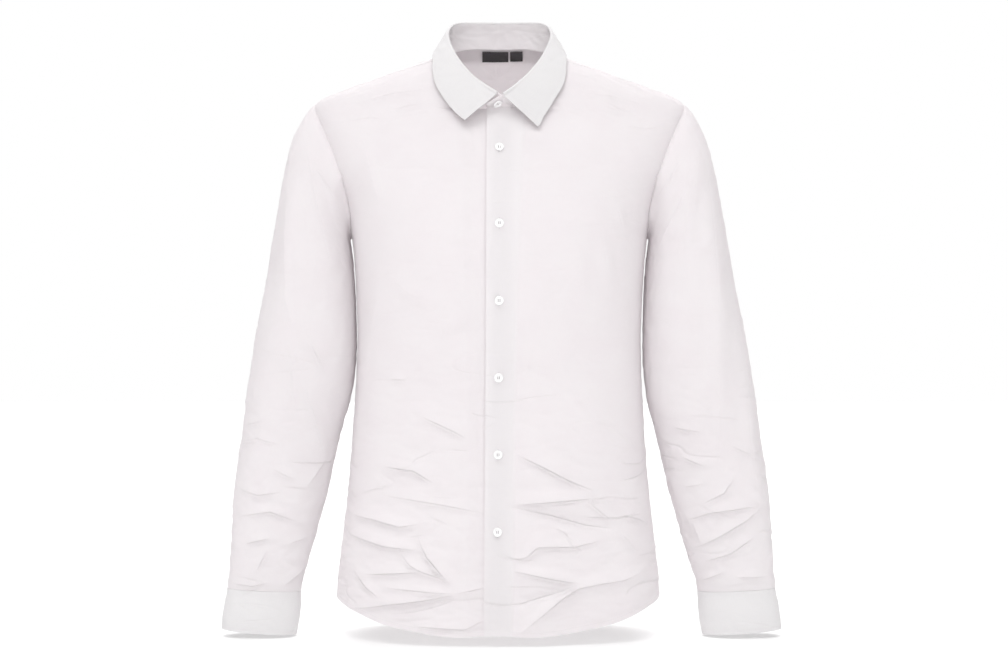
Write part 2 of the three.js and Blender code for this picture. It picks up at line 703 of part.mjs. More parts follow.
// The fall: it starts on top of the stand, rolls over its edge and comes down to its own edge.
function fallGeometry() {
  const turns = neckTurns.filter((turn) => Math.abs(turn) < 180);
  const outer = [];
  const inner = [];
  const roll = CLOTH_WALL + SEAM_GAP; // from the stand's faces to the far side of the fall's wall
  turns.forEach((turn) => {
    const { top, up, out } = standSection(turn);
    const start = top.clone().addScaledVector(out, -neckSink(turn)).addScaledVector(up, LAY_GAP);
    const place = (outwards, upwards) => (
      start.clone().addScaledVector(out, outwards).addScaledVector(up, upwards));
    const edge = collarAt(turn, 'edge');
    const lowered = (start) => (turn > 0 ? smoothStep(start, FALL_END_TURN, turn) : 0);
    const drop = lowered(POINT_DROP_TURN);
    const shift = lowered(POINT_SHIFT_TURN);
    edge.add(new THREE.Vector3(
      LEFT_POINT_DROP.x * shift, LEFT_POINT_DROP.y * drop, LEFT_POINT_DROP.z * drop,
    ));
    const from = place(roll + FALL_ROLL, -FALL_ROLL);
    const outerLine = [place(-CLOTH_WALL, roll), place(0, roll), from];
    const rolled = place(FALL_ROLL + SEAM_GAP, -2 * FALL_ROLL);
    const innerLine = [place(-CLOTH_WALL, SEAM_GAP), place(0, SEAM_GAP), rolled];
    const fallDirection = edge.clone().sub(from).normalize();
    const round = collarAt(turn + 2, 'fold').sub(collarAt(turn - 2, 'fold')).normalize();
    const face = new THREE.Vector3().crossVectors(round, fallDirection).normalize();
    if (face.dot(out) < 0) face.negate();
    spread(FALL_ROWS).slice(1).forEach((t) => {
      const belly = FALL_BELLY * Math.sin(Math.PI * t);
      const point = from.clone().lerp(edge, t).addScaledVector(face, belly);
      outerLine.push(point);
      innerLine.push(point.clone().addScaledVector(face, -CLOTH_WALL));
    });
    outer.push(outerLine);
    inner.push(innerLine);
  });
  return wallGeometry(outer, inner);
}

// ---------------------------------------------------------------- sleeves and cuffs

const SETTLED_RING = 5; // from this ring on, a sleeve follows its table and no longer the armhole

// Turns round a sleeve, one for each spot of the armhole: 0 at its outer side, 90 in front, 180 underneath.
const sleeveTurns = [
  ...spread(CHEST_ROWS + NECK_ROWS).map((t) => mix(180, 20, t)),
  ...spread(SHOULDER_STEPS).map((t) => mix(20, -26, t)).slice(1),
  ...spread(BACK_ARM_ROWS).map((t) => mix(-26, -180, t)).slice(1, -1),
];
const armholeRing = [...armFront, ...armTop.slice(1), ...armBack.slice(1, -1).reverse()];

const curved = (value) => Math.sign(value) * Math.abs(value) ** (2 / SLEEVE_ROUND);

// The rings of one side: the table's own on the left, slimmer ones on the right.
function ringsOf(rows, sideSign) {
  if (sideSign > 0) return rows;
  return rows.map((row) => ({
    ...row,
    outerX: row.outerX - columnAt(RIGHT_SLIMMER, 'z', 'outer', row.outerZ),
    innerX: row.innerX + columnAt(RIGHT_SLIMMER, 'z', 'inner', row.innerZ),
  }));
}

// A point of a ring of the left sleeve or cuff.
function ringPoint(row, turn) {
  const across = curved(Math.cos(turn * DEGREE));
  const x = mix(row.innerX, row.outerX, (1 + across) / 2);
  const z = mix(row.innerZ, row.outerZ, (1 + across) / 2);
  return new THREE.Vector3(x, row.y - row.depth * curved(Math.sin(turn * DEGREE)), z);
}

// Turns a direction so that it doesn't point back over the seam that it starts from.
function clearOf(direction, away) {
  const back = Math.min(direction.dot(away), 0);
  return direction.clone().addScaledVector(away, -back).normalize();
}

function sleeveGeometry(sideSign) {
  const mirror = new THREE.Vector3(sideSign, 1, 1);
  const table = ringsOf(SLEEVE, sideSign);
  const seams = armholeRing.map((spot, i) => {
    const count = armholeRing.length;
    const here = onSide(sideSign)(spot);
    const ahead = formPoint(onSide(sideSign)(armholeRing[(i + 1) % count]));
    const behind = formPoint(onSide(sideSign)(armholeRing[(i + count - 1) % count]));
    const { point, normal } = bodyCloth(here);
    const away = new THREE.Vector3().crossVectors(ahead.sub(behind), normal).normalize();
    if (away.dot(new THREE.Vector3(sideSign * 205, 0, -140).sub(point)) < 0) away.negate();
    const start = point.clone().addScaledVector(away, SEAM_GAP).addScaledVector(normal, SEAM_GAP);
    return { start, away };
  });
  const rings = table.map((row, k) => sleeveTurns.map((turn, i) => {
    const point = ringPoint(row, turn).multiply(mirror);
    const offset = seams[i].start.clone().sub(ringPoint(table[0], turn).multiply(mirror));
    return point.addScaledVector(offset, Math.max(1 - k / SETTLED_RING, 0) ** 2);
  }));
  const folded = rings.map((ring, k) => ring.map((point, i) => {
    const normal = gridNormal(rings, k, i).multiplyScalar(sideSign);
    const inFront = Math.sin(sleeveTurns[i] * DEGREE);
    const folds = inFront > 0 ? SLEEVE_FRONT_FOLDS : SLEEVE_BACK_FOLDS;
    const ends = clamp01(k / 3) * clamp01((rings.length - 1 - k) / 2);
    const rise = ends * clamp01(Math.abs(inFront) / 0.4) * foldRise(folds, point.x, point.z);
    return { point: point.clone().addScaledVector(normal, rise), normal };
  }));
  const outer = folded.map((ring) => ring.map(({ point }) => point));
  const inner = folded.map((ring, k) => ring.map(({ point, normal }, i) => {
    const inwards = normal.clone().negate();
    const direction = k === 0 ? clearOf(inwards, seams[i].away) : inwards;
    return point.clone().addScaledVector(direction, CLOTH_WALL);
  }));
  return wallGeometry(outer, inner, true);
}

// The direction out of the left sleeve's grid of rings; mirrored rings give the direction inwards.
function gridNormal(rings, k, i) {
  const count = rings[0].length;
  const round = rings[k][(i + 1) % count].clone().sub(rings[k][(i + count - 1) % count]);
  const above = rings[Math.max(k - 1, 0)][i];
  const below = rings[Math.min(k + 1, rings.length - 1)][i];
  return new THREE.Vector3().crossVectors(below.clone().sub(above), round).normalize();
}

// The cuff's turns run once round it and on over its own start.
const cuffTurns = (() => {
  const start = CUFF_LAP_MIDDLE + CUFF_LAP_TURN / 2;
  const steps = sleeveTurns.length + 2;
  return spread(steps).map((t) => start - t * (360 + CUFF_LAP_TURN));
})();

function cuffPoint(row, turn) {
  const point = ringPoint(row, turn);
  const next = ringPoint(row, turn + 1).sub(ringPoint(row, turn - 1));
  const out = new THREE.Vector3().crossVectors(next, new THREE.Vector3(0, 0, 1)).normalize();
  const middle = new THREE.Vector3((row.innerX + row.outerX) / 2, row.y, point.z);
  if (out.dot(point.clone().sub(middle)) < 0) out.negate();
  return { point, out };
}

// The lap's outer layer rises over the start of the cuff.
const cuffLift = (index) => {
  const done = index / (cuffTurns.length - 1);
  const lapShare = (CUFF_LAP_TURN * 1.2) / (360 + CUFF_LAP_TURN);
  return LAP_DEPTH * smoothStep(1 - 2 * lapShare, 1 - lapShare, done);
};

function cuffGeometry(sideSign) {
  const mirror = new THREE.Vector3(sideSign, 1, 1);
  const rows = ringsOf(CUFF, sideSign);
  const layer = (depth) => rows.map((row) => cuffTurns.map((turn, i) => {
    const { point, out } = cuffPoint(row, turn);
    return point.addScaledVector(out, cuffLift(i) - depth).multiply(mirror);
  }));
  return wallGeometry(layer(0), layer(CLOTH_WALL));
}

// ---------------------------------------------------------------- buttons and labels

function toManifold(geometry) {
  const bare = geometry.clone();
  bare.deleteAttribute('normal');
  bare.deleteAttribute('uv');
  const merged = mergeVertices(bare, 1e-4);
  return new wasm.Manifold(new wasm.Mesh({
    numProp: 3,
    vertProperties: Float32Array.from(merged.attributes.position.array),
    triVerts: Uint32Array.from(merged.index.array),
  }));
}

function fromManifold(solid) {
  const mesh = solid.getMesh();
  const geometry = new THREE.BufferGeometry();
  geometry.setAttribute('position', new THREE.Float32BufferAttribute(mesh.vertProperties, 3));
  geometry.setIndex(Array.from(mesh.triVerts));
  return geometry;
}

// A four-hole button with a raised rim, its flat underside on z = 0.
function buttonGeometry() {
  const profile = [
    [0, 0],
    [BUTTON_RADIUS - 0.3 * BUTTON_RIM, 0],
    [BUTTON_RADIUS, 0.4 * BUTTON_HEIGHT],
    [BUTTON_RADIUS - 0.3 * BUTTON_RIM, BUTTON_HEIGHT],
    [BUTTON_RADIUS - BUTTON_RIM, BUTTON_HEIGHT - BUTTON_DISH],
    [0, BUTTON_HEIGHT - BUTTON_DISH],
  ].map(([radius, height]) => new THREE.Vector2(radius, height));
  const disc = new THREE.LatheGeometry(profile, BUTTON_SIDES).rotateX(Math.PI / 2);
  let solid = toManifold(disc);
  if (solid.volume() < 0) throw new Error('the button is inside out');
  const radius = BUTTON_HOLE_RADIUS;
  [45, 135, 225, 315].forEach((angle) => {
    const drill = new THREE.CylinderGeometry(radius, radius, 3 * BUTTON_HEIGHT, HOLE_SIDES);
    drill.rotateX(Math.PI / 2);
    const across = BUTTON_HOLE_SPREAD * Math.cos(angle * DEGREE);
    const up = BUTTON_HOLE_SPREAD * Math.sin(angle * DEGREE);
    drill.translate(across, up, 0);
    solid = solid.subtract(toManifold(drill));
  });
  return fromManifold(solid);
}

// Lays a button on a face, its flat side just off it.
function placeButton(mesh, point, normal, clearance = LAY_GAP) {
  mesh.position.copy(point).addScaledVector(normal, clearance);
  mesh.quaternion.setFromUnitVectors(new THREE.Vector3(0, 0, 1), normal);
}

// A blank label sewn inside the yoke, hanging from just under the neck seam at the back.
function labelGeometry({ fromX, toX, length }) {
  const steps = 4;
  const startDown = neckSpot(0).down + LABEL_DROP;
  const cells = spread(2).map((v) => spread(steps).map((u) => {
    const down = startDown + v * length;
    const x = mix(fromX, toX, u);
    const turn = Math.PI - Math.asin((Math.abs(x) / torsoAt('half', down)) ** (ROUND / 2)) * Math.sign(x);
    return bodyCloth({ turn, down });
  }));
  const depth = CLOTH_WALL + LAY_GAP;
  const layer = (offset) => cells.map((row) => row.map(({ point, normal }) => (
    point.clone().addScaledVector(normal, -depth - offset))));
  return wallGeometry(layer(0), layer(LABEL_WALL));
}

// ---------------------------------------------------------------- the shirt

const shirt = new THREE.Group();
shirt.name = 'shirt';

function addPiece(name, geometry, colour, roughness = 0.85) {
  const material = new THREE.MeshStandardMaterial({ color: colour, roughness, metalness: 0 });
  const mesh = new THREE.Mesh(geometry, material);
  mesh.name = name;
  shirt.add(mesh);
  return mesh;
}

const frontLayout = frontSpots();
const rightLayout = frontLayout.map((row) => row.map(onSide(-1)));
const lastBandRow = SKIRT_ROWS + CHEST_ROWS + 2; // higher rows start from the neck seam beyond the band
const bandThickening = (row, column) => (row <= lastBandRow && column < BAND_COLUMNS ? BAND_RISE : 0);
const underLift = (row, column) => (row <= lastBandRow && column <= BAND_COLUMNS ? -LAP_DEPTH : 0);
addPiece('front_left', panelGeometry(frontLayout, () => 0, bandThickening), COLOURS.body);
addPiece('front_right', panelGeometry(rightLayout, underLift), COLOURS.body);
addPiece('back', panelGeometry(backSpots()), COLOURS.body);
addPiece('yoke', panelGeometry(yokeSpots()), COLOURS.body);
addPiece('collar_stand', standGeometry(), COLOURS.trim);
addPiece('collar_fall', fallGeometry(), COLOURS.trim);

const sides = { left: 1, right: -1 };
Object.entries(sides).forEach(([name, sign]) => {
  addPiece(`sleeve_${name}`, sleeveGeometry(sign), COLOURS.body);
  addPiece(`cuff_${name}`, cuffGeometry(sign), COLOURS.trim);
  const mesh = addPiece(`button_cuff_${name}`, buttonGeometry(), COLOURS.button, 0.35);
  const middleRow = ringsOf([{ ...CUFF[1], ...CUFF_BUTTON_RING }], sign)[0];
  const { point, out } = cuffPoint(middleRow, CUFF_LAP_MIDDLE);
  const mirror = new THREE.Vector3(sign, 1, 1);
  const onLap = point.addScaledVector(out, LAP_DEPTH);
  placeButton(mesh, onLap.multiply(mirror), out.multiply(mirror), 2 * LAY_GAP);
});

for (let i = 0; i < FRONT_BUTTONS; i += 1) {
  const spot = spotAt(0, TOP_BUTTON_Z - i * BUTTON_PITCH);
  const { point, normal } = bodyCloth(spot);
  const mesh = addPiece(`button_${i + 1}`, buttonGeometry(), COLOURS.button, 0.35);
  placeButton(mesh, point.addScaledVector(normal, BAND_RISE), normal);
}

const collarButton = addPiece('button_collar', buttonGeometry(), COLOURS.button, 0.35);
const standFront = standSection(COLLAR_BUTTON_TURN);
const standMiddle = standFront.foot.clone().lerp(standFront.top, 0.5);
standMiddle.addScaledVector(standFront.out, STAND_BELLY);
placeButton(collarButton, standMiddle, standFront.out, 2 * LAY_GAP);

LABELS.forEach((label) => addPiece(label.name, labelGeometry(label), COLOURS.label));

export default shirt;
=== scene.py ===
"""The looks of a crumpled long-sleeved button-up shirt that keeps the hollow shape of its wearer.

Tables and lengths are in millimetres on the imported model's axes: +Z up, the front faces -Y and the
shirt's own left side lies at +X. They become metres when a mesh is made.
"""
import itertools
import math

import bpy
import numpy as np
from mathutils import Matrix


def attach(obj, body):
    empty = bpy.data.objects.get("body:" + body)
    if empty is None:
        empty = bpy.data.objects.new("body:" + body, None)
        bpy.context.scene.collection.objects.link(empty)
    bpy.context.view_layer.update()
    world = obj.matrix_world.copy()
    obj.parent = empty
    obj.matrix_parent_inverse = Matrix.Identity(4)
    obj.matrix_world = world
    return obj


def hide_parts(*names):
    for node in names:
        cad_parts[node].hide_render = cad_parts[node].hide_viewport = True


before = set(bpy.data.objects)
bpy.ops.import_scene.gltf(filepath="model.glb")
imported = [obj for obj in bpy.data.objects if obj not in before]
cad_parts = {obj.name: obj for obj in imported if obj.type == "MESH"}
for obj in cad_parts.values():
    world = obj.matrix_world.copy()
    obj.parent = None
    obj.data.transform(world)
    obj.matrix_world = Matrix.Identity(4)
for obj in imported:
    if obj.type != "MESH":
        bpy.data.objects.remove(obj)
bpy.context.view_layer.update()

MM = 0.001

# ---------------------------------------------------------------- sizes shared with the solids

CLOTH = 0.5  # thickness of the body's cloth
TRIM = 1.0  # thickness of the fused collar and cuffs
SOLID_WALL = 2.0
SEAM_GAP = 0.3
LAY_GAP = 0.4
LAP_DEPTH = 3.0  # how far an edge lies below the one that laps over it

BAND_HALF_WIDTH = 15.6
BAND_RISE = 0.7
BAND_STEP = 2.4
SINK_START = 36

NECK_HALF_WIDTH = 68
NECK_HALF_DEPTH = 57.3
NECK_MIDDLE_Y = -9.7
NECK_LAP_TURN = 193.3
YOKE_NECK_TURN = 96
COLLAR_BUTTON_TURN = 183
FALL_END_TURN = 177

STAND_BELLY = 1.2
FALL_BELLY = 1.0

YOKE_SEAM_X = 229
YOKE_SEAM_Y = -14
YOKE_BACK_Z = -78
SHOULDER_TIP_Z = -58
UNDERARM_Z = -222
CHEST_ROW_Z = -200
SHOULDER_END_Z = -66

CUFF_LAP_TURN = 32
CUFF_LAP_MIDDLE = 250

BUTTON_RADIUS = 5.6
TOP_BUTTON_Z = -118
BUTTON_PITCH = 92.3
FRONT_BUTTONS = 6

SKIRT_ROWS = 28
CHEST_ROWS = 6
NECK_ROWS = 6
BACK_ARM_ROWS = 9
SHOULDER_STEPS = 4
YOKE_BACK_STEPS = 16

ROUND = 2.4
SLEEVE_ROUND = 2.2

# ---------------------------------------------------------------- tables shared with the solids


def named(columns, rows):
    """A table as one array for each named column."""
    return dict(zip(columns, np.array(rows, float).T))


TORSO = named(["z", "half", "front", "back"], [
    [24, 44, 3, 40], [16, 54, 8, 51], [8, 66, 14, 58], [0, 87, 22, 65], [-8, 109, 29, 71],
    [-16, 130.5, 35.5, 76], [-24, 152, 41, 80], [-32, 174, 46, 84], [-40, 196, 50, 87],
    [-48, 216.5, 54, 90], [-56, 229, 58, 92.5], [-66, 233, 63, 95], [-80, 231, 71.5, 98],
    [-100, 225, 84, 101], [-136, 213, 102, 106], [-152, 204, 108, 108], [-180, 192, 115, 110],
    [-208, 186, 119, 111], [-250, 181, 120, 109], [-300, 178, 118, 103], [-350, 176.5, 115, 96],
    [-400, 178, 112, 91], [-450, 181, 111, 89], [-500, 184.5, 111, 91], [-550, 189, 112, 96],
    [-600, 195, 114, 103], [-650, 200.5, 116, 109], [-690, 200, 117, 112], [-740, 198, 117, 113],
])
LEAN = named(["z", "shift"], [[-740, -2.5], [-650, -2.5], [-450, -1.2], [-250, 0], [24, 0]])
HEM = named(["turn", "z"], [
    [-8, -704], [0, -704], [12, -705.5], [28, -698.5], [41, -692], [50, -685.5], [60, -678.5],
    [75, -671], [90, -668], [105, -671], [120, -680], [135, -691], [150, -703], [165, -712],
    [180, -715],
])
ARMHOLE_FRONT = [[222, -80], [210, -106], [197, -140], [188, -172], [184, -200]]
ARMHOLE_BACK = [[188.5, -200], [193.5, -172], [202.5, -140], [213, -110], [220, -90]]
SHOULDER_BACK = [227.5, -72]

RING = ["outer_x", "outer_z", "inner_x", "inner_z", "depth", "y"]
SLEEVE = named(RING, [
    [231, -58, 184.5, -222, 48, -2], [241, -68, 186.4, -225, 54, -2], [252, -88, 186, -229, 58, -2],
    [260, -108, 185, -234, 60, -2], [267, -138, 184.2, -240, 61, -3],
    [273, -167, 183.3, -247, 62, -3], [279, -199, 182.3, -256, 62, -3],
    [285.5, -235, 181.4, -268, 62, -4], [292, -275, 179.8, -296, 61.5, -4],
    [299, -310, 178.7, -326, 61, -5], [306, -345, 178.2, -360, 60, -6],
    [312, -384, 180.3, -398, 57, -7], [317, -412, 184.5, -428, 54, -8],
    [320.5, -438, 191.5, -455, 51, -9], [324, -466, 198, -482, 48, -10],
    [328, -492, 204, -508, 45.5, -11], [331.5, -517, 209.5, -533, 43, -12],
    [334.5, -543, 216, -557, 41, -13], [336.5, -568, 222.5, -580, 39, -14],
    [338, -592, 228.5, -601, 37, -15], [339, -613, 234, -620, 35, -16],
    [340, -631, 239.5, -636, 33, -17], [341.5, -645, 243.5, -649, 30.5, -18],
    [342, -656.5, 245.5, -660.5, 28, -18],
])
RIGHT_SLIMMER = named(["z", "outer", "inner"], [
    [-720, 5, 0.5], [-660, 4.5, 0.5], [-600, 5.5, 2.5], [-520, 4, 3], [-440, 3.5, 3.5],
    [-390, 2.5, 1], [-340, 2, 0], [-240, 1.5, 0], [-120, 0, 0], [0, 0, 0],
])
CUFF = named(RING, [
    [342, -656.8, 245.5, -660.8, 28, -18], [345.5, -675, 246, -679, 28.5, -18.5],
    [348, -690, 248, -696, 29, -19], [349.4, -707, 251, -714, 29.5, -19.5],
])
COLLAR_FOLD = named(["turn", "x", "y", "z"], [
    [0, 0, 50, 52], [30, 32, 45, 51.5], [60, 55, 28, 48], [86, 64.2, 8, 36], [104, 61, -12, 18],
    [128, 50, -36, -5], [146, 36, -53, -24], [162, 20, -67, -40], [177, 4.2, -78, -52],
    [193.3, -15.8, -77, -64],
])
COLLAR_EDGE = named(["turn", "x", "y", "z"], [
    [0, 0, 67, 12], [30, 38, 62, 11], [60, 67, 41, 9], [86, 83, 8, 7.5], [104, 83.2, -20, -1],
    [128, 79.5, -50, -33], [146, 66.5, -66, -57], [162, 54, -77, -73], [177, 42, -84, -83.5],
])
LEFT_POINT_DROP = np.array([4.5, -1, -8])
POINT_DROP_TURN = 140
POINT_SHIFT_TURN = 160
# each from x to x, and how far down it reaches
LABELS = {"label_main": (-22.5, 11.3, 22), "label_size": (13.6, 29.9, 20)}
LABEL_DROP = 0.6

# ---------------------------------------------------------------- creases, as seen from the front


def crease(points, rise, above, below, below_end=None, crisp=0.9):
    """A ridge through points (x, z), or a trough if its rise is negative.

    Its sides reach `above` and `below` its line, where the lower side may widen to `below_end`.
    A crisp one has a sharp edge, and one that isn't is a soft roll.
    """
    return {"points": np.array(points, float), "rise": rise, "above": above, "below": below,
            "below_end": below if below_end is None else below_end, "crisp": crisp}


FRONT_CREASES = [
    # the shirt's right side
    crease([(-92, -442), (-53, -460), (-41, -467)], 2.4, 18, 10),
    crease([(-139, -503), (-102, -507), (-80, -521)], 3.8, 20, 11),
    crease([(-141, -537), (-83, -545), (-48, -551), (-19, -557)], 2.2, 14, 8),
    crease([(-178, -564), (-153, -567), (-120, -575), (-97, -571)], 4.2, 17, 9),
    crease([(-180, -588), (-139, -599), (-101, -602)], 4.6, 15, 10),
    crease([(-97, -586), (-87, -609), (-76, -622), (-57, -643)], 3.8, 15, 9),
    crease([(-119, -605), (-106, -621), (-92, -628), (-71, -634), (-60, -643)], 2.6, 10, 8),
    crease([(-165, -634), (-129, -631), (-92, -628)], 3.4, 15, 8),
    crease([(-139, -648), (-106, -650), (-76, -652), (-51, -653)], 2.4, 9, 6),
    crease([(-51, -653), (-19, -646)], 2.0, 12, 8),
    crease([(-177, -677), (-136, -669), (-92, -662), (-51, -654)], 4.4, 14, 8),
    crease([(-129, -679), (-101, -675), (-71, -667), (-51, -659)], -1.6, 6, 7),
    crease([(-177, -630), (-162, -649), (-146, -661)], 2.6, 12, 8),
    crease([(-101, -693), (-71, -694), (-41, -696), (-19, -685)], 2.6, 11, 8),
    # the shirt's left side
    crease([(23, -488), (52, -502), (84, -519), (115, -532)], 3.6, 22, 11),
    crease([(16, -548), (64, -544), (105, -541), (127, -541)], 5.0, 15, 4, 33, crisp=0.85),
    crease([(16, -549), (64, -560), (105, -572), (138, -577)], -3.0, 9, 15),
    crease([(105, -543), (119, -555), (135, -567)], 1.8, 8, 8),
    crease([(150, -562), (170, -569), (180, -576)], 3.0, 13, 8),
    crease([(19, -612), (32, -610), (45, -598), (91, -598), (124, -591)], 3.4, 14, 9),
    crease([(17, -626), (68, -637), (96, -642)], 4.6, 13, 24, 6, crisp=0.85),
    crease([(17, -668), (36, -661), (68, -652), (96, -642)], -2.6, 9, 12),
    crease([(27, -699), (52, -679), (73, -661), (94, -648), (124, -643), (148, -641), (172, -633)],
           4.8, 13, 16, crisp=0.8),
    crease([(148, -584), (167, -608)], 2.2, 11, 9),
    crease([(94, -403), (108, -428), (120, -440)], 2.0, 20, 15, crisp=0.2),
    # the chest
    crease([(-132, -275), (-106, -296), (-83, -303)], 2.0, 20, 14, crisp=0.3),
    crease([(-69, -342), (-51, -332), (-35, -319)], 1.4, 15, 11, crisp=0.3),
    crease([(-157, -340), (-149, -310), (-146, -275)], 1.8, 15, 15, crisp=0.2),
    crease([(-132, -397), (-113, -398)], 1.6, 12, 9),
    crease([(-165, -117), (-145, -188)], 1.8, 12, 16, crisp=0.3),
    crease([(143, -188), (151, -215)], 1.4, 10, 9, crisp=0.5),
    crease([(133, -222), (158, -227)], 1.2, 9, 8, crisp=0.5),
    crease([(123, -213), (135, -290)], 1.6, 13, 13, crisp=0.2),
    crease([(95, -243), (103, -301)], 1.4, 13, 13, crisp=0.2),
    crease([(-20, -240), (-46, -256)], 0.9, 12, 10, crisp=0.4),
    crease([(22, -372), (58, -385), (80, -402)], 1.3, 15, 11, crisp=0.3),
    crease([(-24, -404), (-60, -412)], 1.0, 12, 9, crisp=0.4),
    # just below the shoulder seams
    crease([(-179, -60), (-132, -48), (-87, -42)], 1.6, 7, 6),
    crease([(-136, -70), (-108, -63), (-88, -60)], 1.5, 7, 6),
    crease([(-196, -84), (-158, -78), (-128, -84)], 1.2, 8, 7),
    crease([(96, -46), (140, -52), (182, -62)], 1.5, 7, 6),
    crease([(126, -56), (145, -67), (163, -73)], 1.6, 7, 6),
    crease([(150, -88), (178, -92), (200, -88)], 1.1, 8, 7),
]
BACK_CREASES = [
    crease([(-150, -492), (-100, -500), (-40, -520)], 4.2, 22, 12),
    crease([(-20, -470), (30, -478), (90, -500)], 3.6, 22, 12),
    crease([(-165, -560), (-110, -556), (-60, -545)], 4.4, 18, 10),
    crease([(-40, -560), (10, -566), (60, -585)], 4.8, 8, 6, 28, crisp=0.85),
    crease([(-44, -566), (10, -588), (58, -606)], -2.6, 9, 14),
    crease([(80, -545), (130, -552), (165, -570)], 4.2, 18, 10),
    crease([(-150, -625), (-90, -622), (-30, -605)], 4.6, 17, 10),
    crease([(-120, -640), (-70, -646), (-20, -640)], 2.4, 10, 8),
    crease([(10, -640), (60, -636), (120, -618)], 4.8, 15, 9),
    crease([(30, -660), (70, -652), (110, -648)], -2.2, 8, 10),
    crease([(-100, -668), (-40, -672), (20, -690)], 4.2, 15, 9),
    crease([(60, -690), (110, -672), (160, -650)], 4.0, 14, 9),
    crease([(-170, -655), (-140, -672), (-118, -682)], 2.6, 11, 8),
    crease([(-90, -400), (-50, -410), (-20, -430)], 2.8, 24, 16, crisp=0.3),
    crease([(30, -380), (70, -388), (110, -410)], 2.8, 24, 16, crisp=0.3),
    crease([(-130, -440), (-96, -452)], 2.2, 15, 10),
    crease([(70, -452), (120, -446)], 2.2, 15, 10),
    crease([(-60, -190), (-46, -280), (-52, -350)], 2.2, 20, 20, crisp=0.1),
    crease([(62, -180), (50, -270), (60, -352)], 2.2, 20, 20, crisp=0.1),
    crease([(-150, -170), (-120, -230)], 2.0, 16, 16, crisp=0.2),
    crease([(150, -176), (124, -238)], 2.0, 16, 16, crisp=0.2),
    crease([(-40, -322), (-4, -334)], 1.6, 14, 10, crisp=0.3),
    crease([(150, -300), (120, -330)], 1.6, 14, 12, crisp=0.3),
    # just below the collar, which show inside the neck
    crease([(-36, -15), (-5, -15)], 1.2, 5, 5),
    crease([(-24, 3), (-4, -13)], 1.2, 5, 5),
    crease([(-3, 6), (-2, -13)], 1.1, 4, 4),
    crease([(20, 1), (1, -14)], 1.2, 5, 5),
    crease([(2, -17), (33, -12)], 1.2, 5, 5),
]
RIGHT_SLEEVE_FRONT = [
    crease([(-239, -101), (-226, -172), (-206, -253)], 3.6, 16, 14, crisp=0.45),
    crease([(-224, -139), (-201, -176)], 2.0, 10, 9),
    crease([(-257, -101), (-262, -218), (-262, -300), (-248, -346)], 3.0, 18, 16, crisp=0.3),
    crease([(-255, -350), (-250, -443)], 2.6, 15, 15, crisp=0.35),
    crease([(-231, -350), (-213, -391)], 2.2, 12, 11),
    crease([(-239, -396), (-215, -490)], 2.8, 14, 12, crisp=0.45),
    crease([(-313, -455), (-287, -448)], 2.2, 12, 9),
    crease([(-320, -476), (-296, -470), (-270, -478)], 1.8, 11, 8),
    crease([(-234, -527), (-215, -499)], 2.6, 11, 9),
    crease([(-311, -600), (-283, -593)], 3.2, 12, 8),
    crease([(-297, -632), (-285, -609)], 2.2, 9, 8),
    crease([(-264, -652), (-241, -631)], 3.6, 11, 8, crisp=0.85),
    crease([(-328, -649), (-303, -652), (-285, -648)], 2.6, 8, 6),
    crease([(-322, -532), (-296, -540), (-268, -536)], 2.4, 12, 8),
    crease([(-318, -566), (-280, -560), (-250, -572)], 2.8, 12, 8),
    crease([(-258, -600), (-236, -592)], 2.0, 9, 7),
    crease([(-276, -508), (-252, -520)], 1.8, 10, 8),
]
LEFT_SLEEVE_FRONT = [
    crease([(194, -176), (224, -128)], 2.6, 11, 10, crisp=0.6),
    crease([(196, -236), (228, -167)], 3.0, 13, 12, crisp=0.5),
    crease([(233, -106), (229, -195), (222, -261)], 2.8, 15, 14, crisp=0.3),
    crease([(245, -120), (238, -183)], 2.2, 12, 11, crisp=0.4),
    crease([(255, -125), (263, -218), (268, -300), (268, -509)], 3.2, 18, 17, crisp=0.3),
    crease([(301, -350), (308, -467), (319, -553)], 2.8, 16, 14, crisp=0.35),
    crease([(214, -457), (245, -462)], 2.4, 12, 9),
    crease([(224, -493), (250, -504)], 2.6, 12, 9),
    crease([(250, -550), (275, -537), (286, -521)], 2.8, 12, 9),
    crease([(230, -572), (257, -562), (322, -553)], 3.6, 13, 8, crisp=0.8),
    crease([(240, -606), (266, -593), (304, -570), (322, -555)], 4.0, 12, 9, crisp=0.8),
    crease([(238, -575), (247, -598)], 1.8, 8, 8),
    crease([(291, -641), (327, -641)], 2.6, 9, 6),
    crease([(252, -622), (282, -612), (312, -592)], 3.0, 11, 8),
    crease([(250, -646), (276, -634)], 2.4, 9, 7),
    crease([(280, -478), (306, -490), (322, -484)], 2.0, 11, 8),
    crease([(228, -530), (250, -526)], 2.0, 10, 8),
]
RIGHT_SLEEVE_BACK = [
    crease([(-270, -130), (-248, -200), (-225, -270)], 3.6, 18, 16, crisp=0.4),
    crease([(-285, -300), (-274, -360), (-262, -420)], 3.2, 18, 16, crisp=0.3),
    crease([(-320, -470), (-280, -480), (-230, -500)], 3.8, 16, 10),
    crease([(-325, -540), (-285, -530), (-240, -530)], 4.0, 15, 9),
    crease([(-300, -600), (-245, -580)], 3.6, 13, 9),
    crease([(-316, -506), (-286, -512)], 2.2, 11, 8),
    crease([(-326, -572), (-290, -566)], 2.4, 11, 8),
    crease([(-322, -632), (-286, -622)], 2.6, 10, 7),
    crease([(-232, -150), (-212, -190)], 2.0, 11, 10),
    crease([(-236, -440), (-222, -462)], 2.0, 11, 9),
]
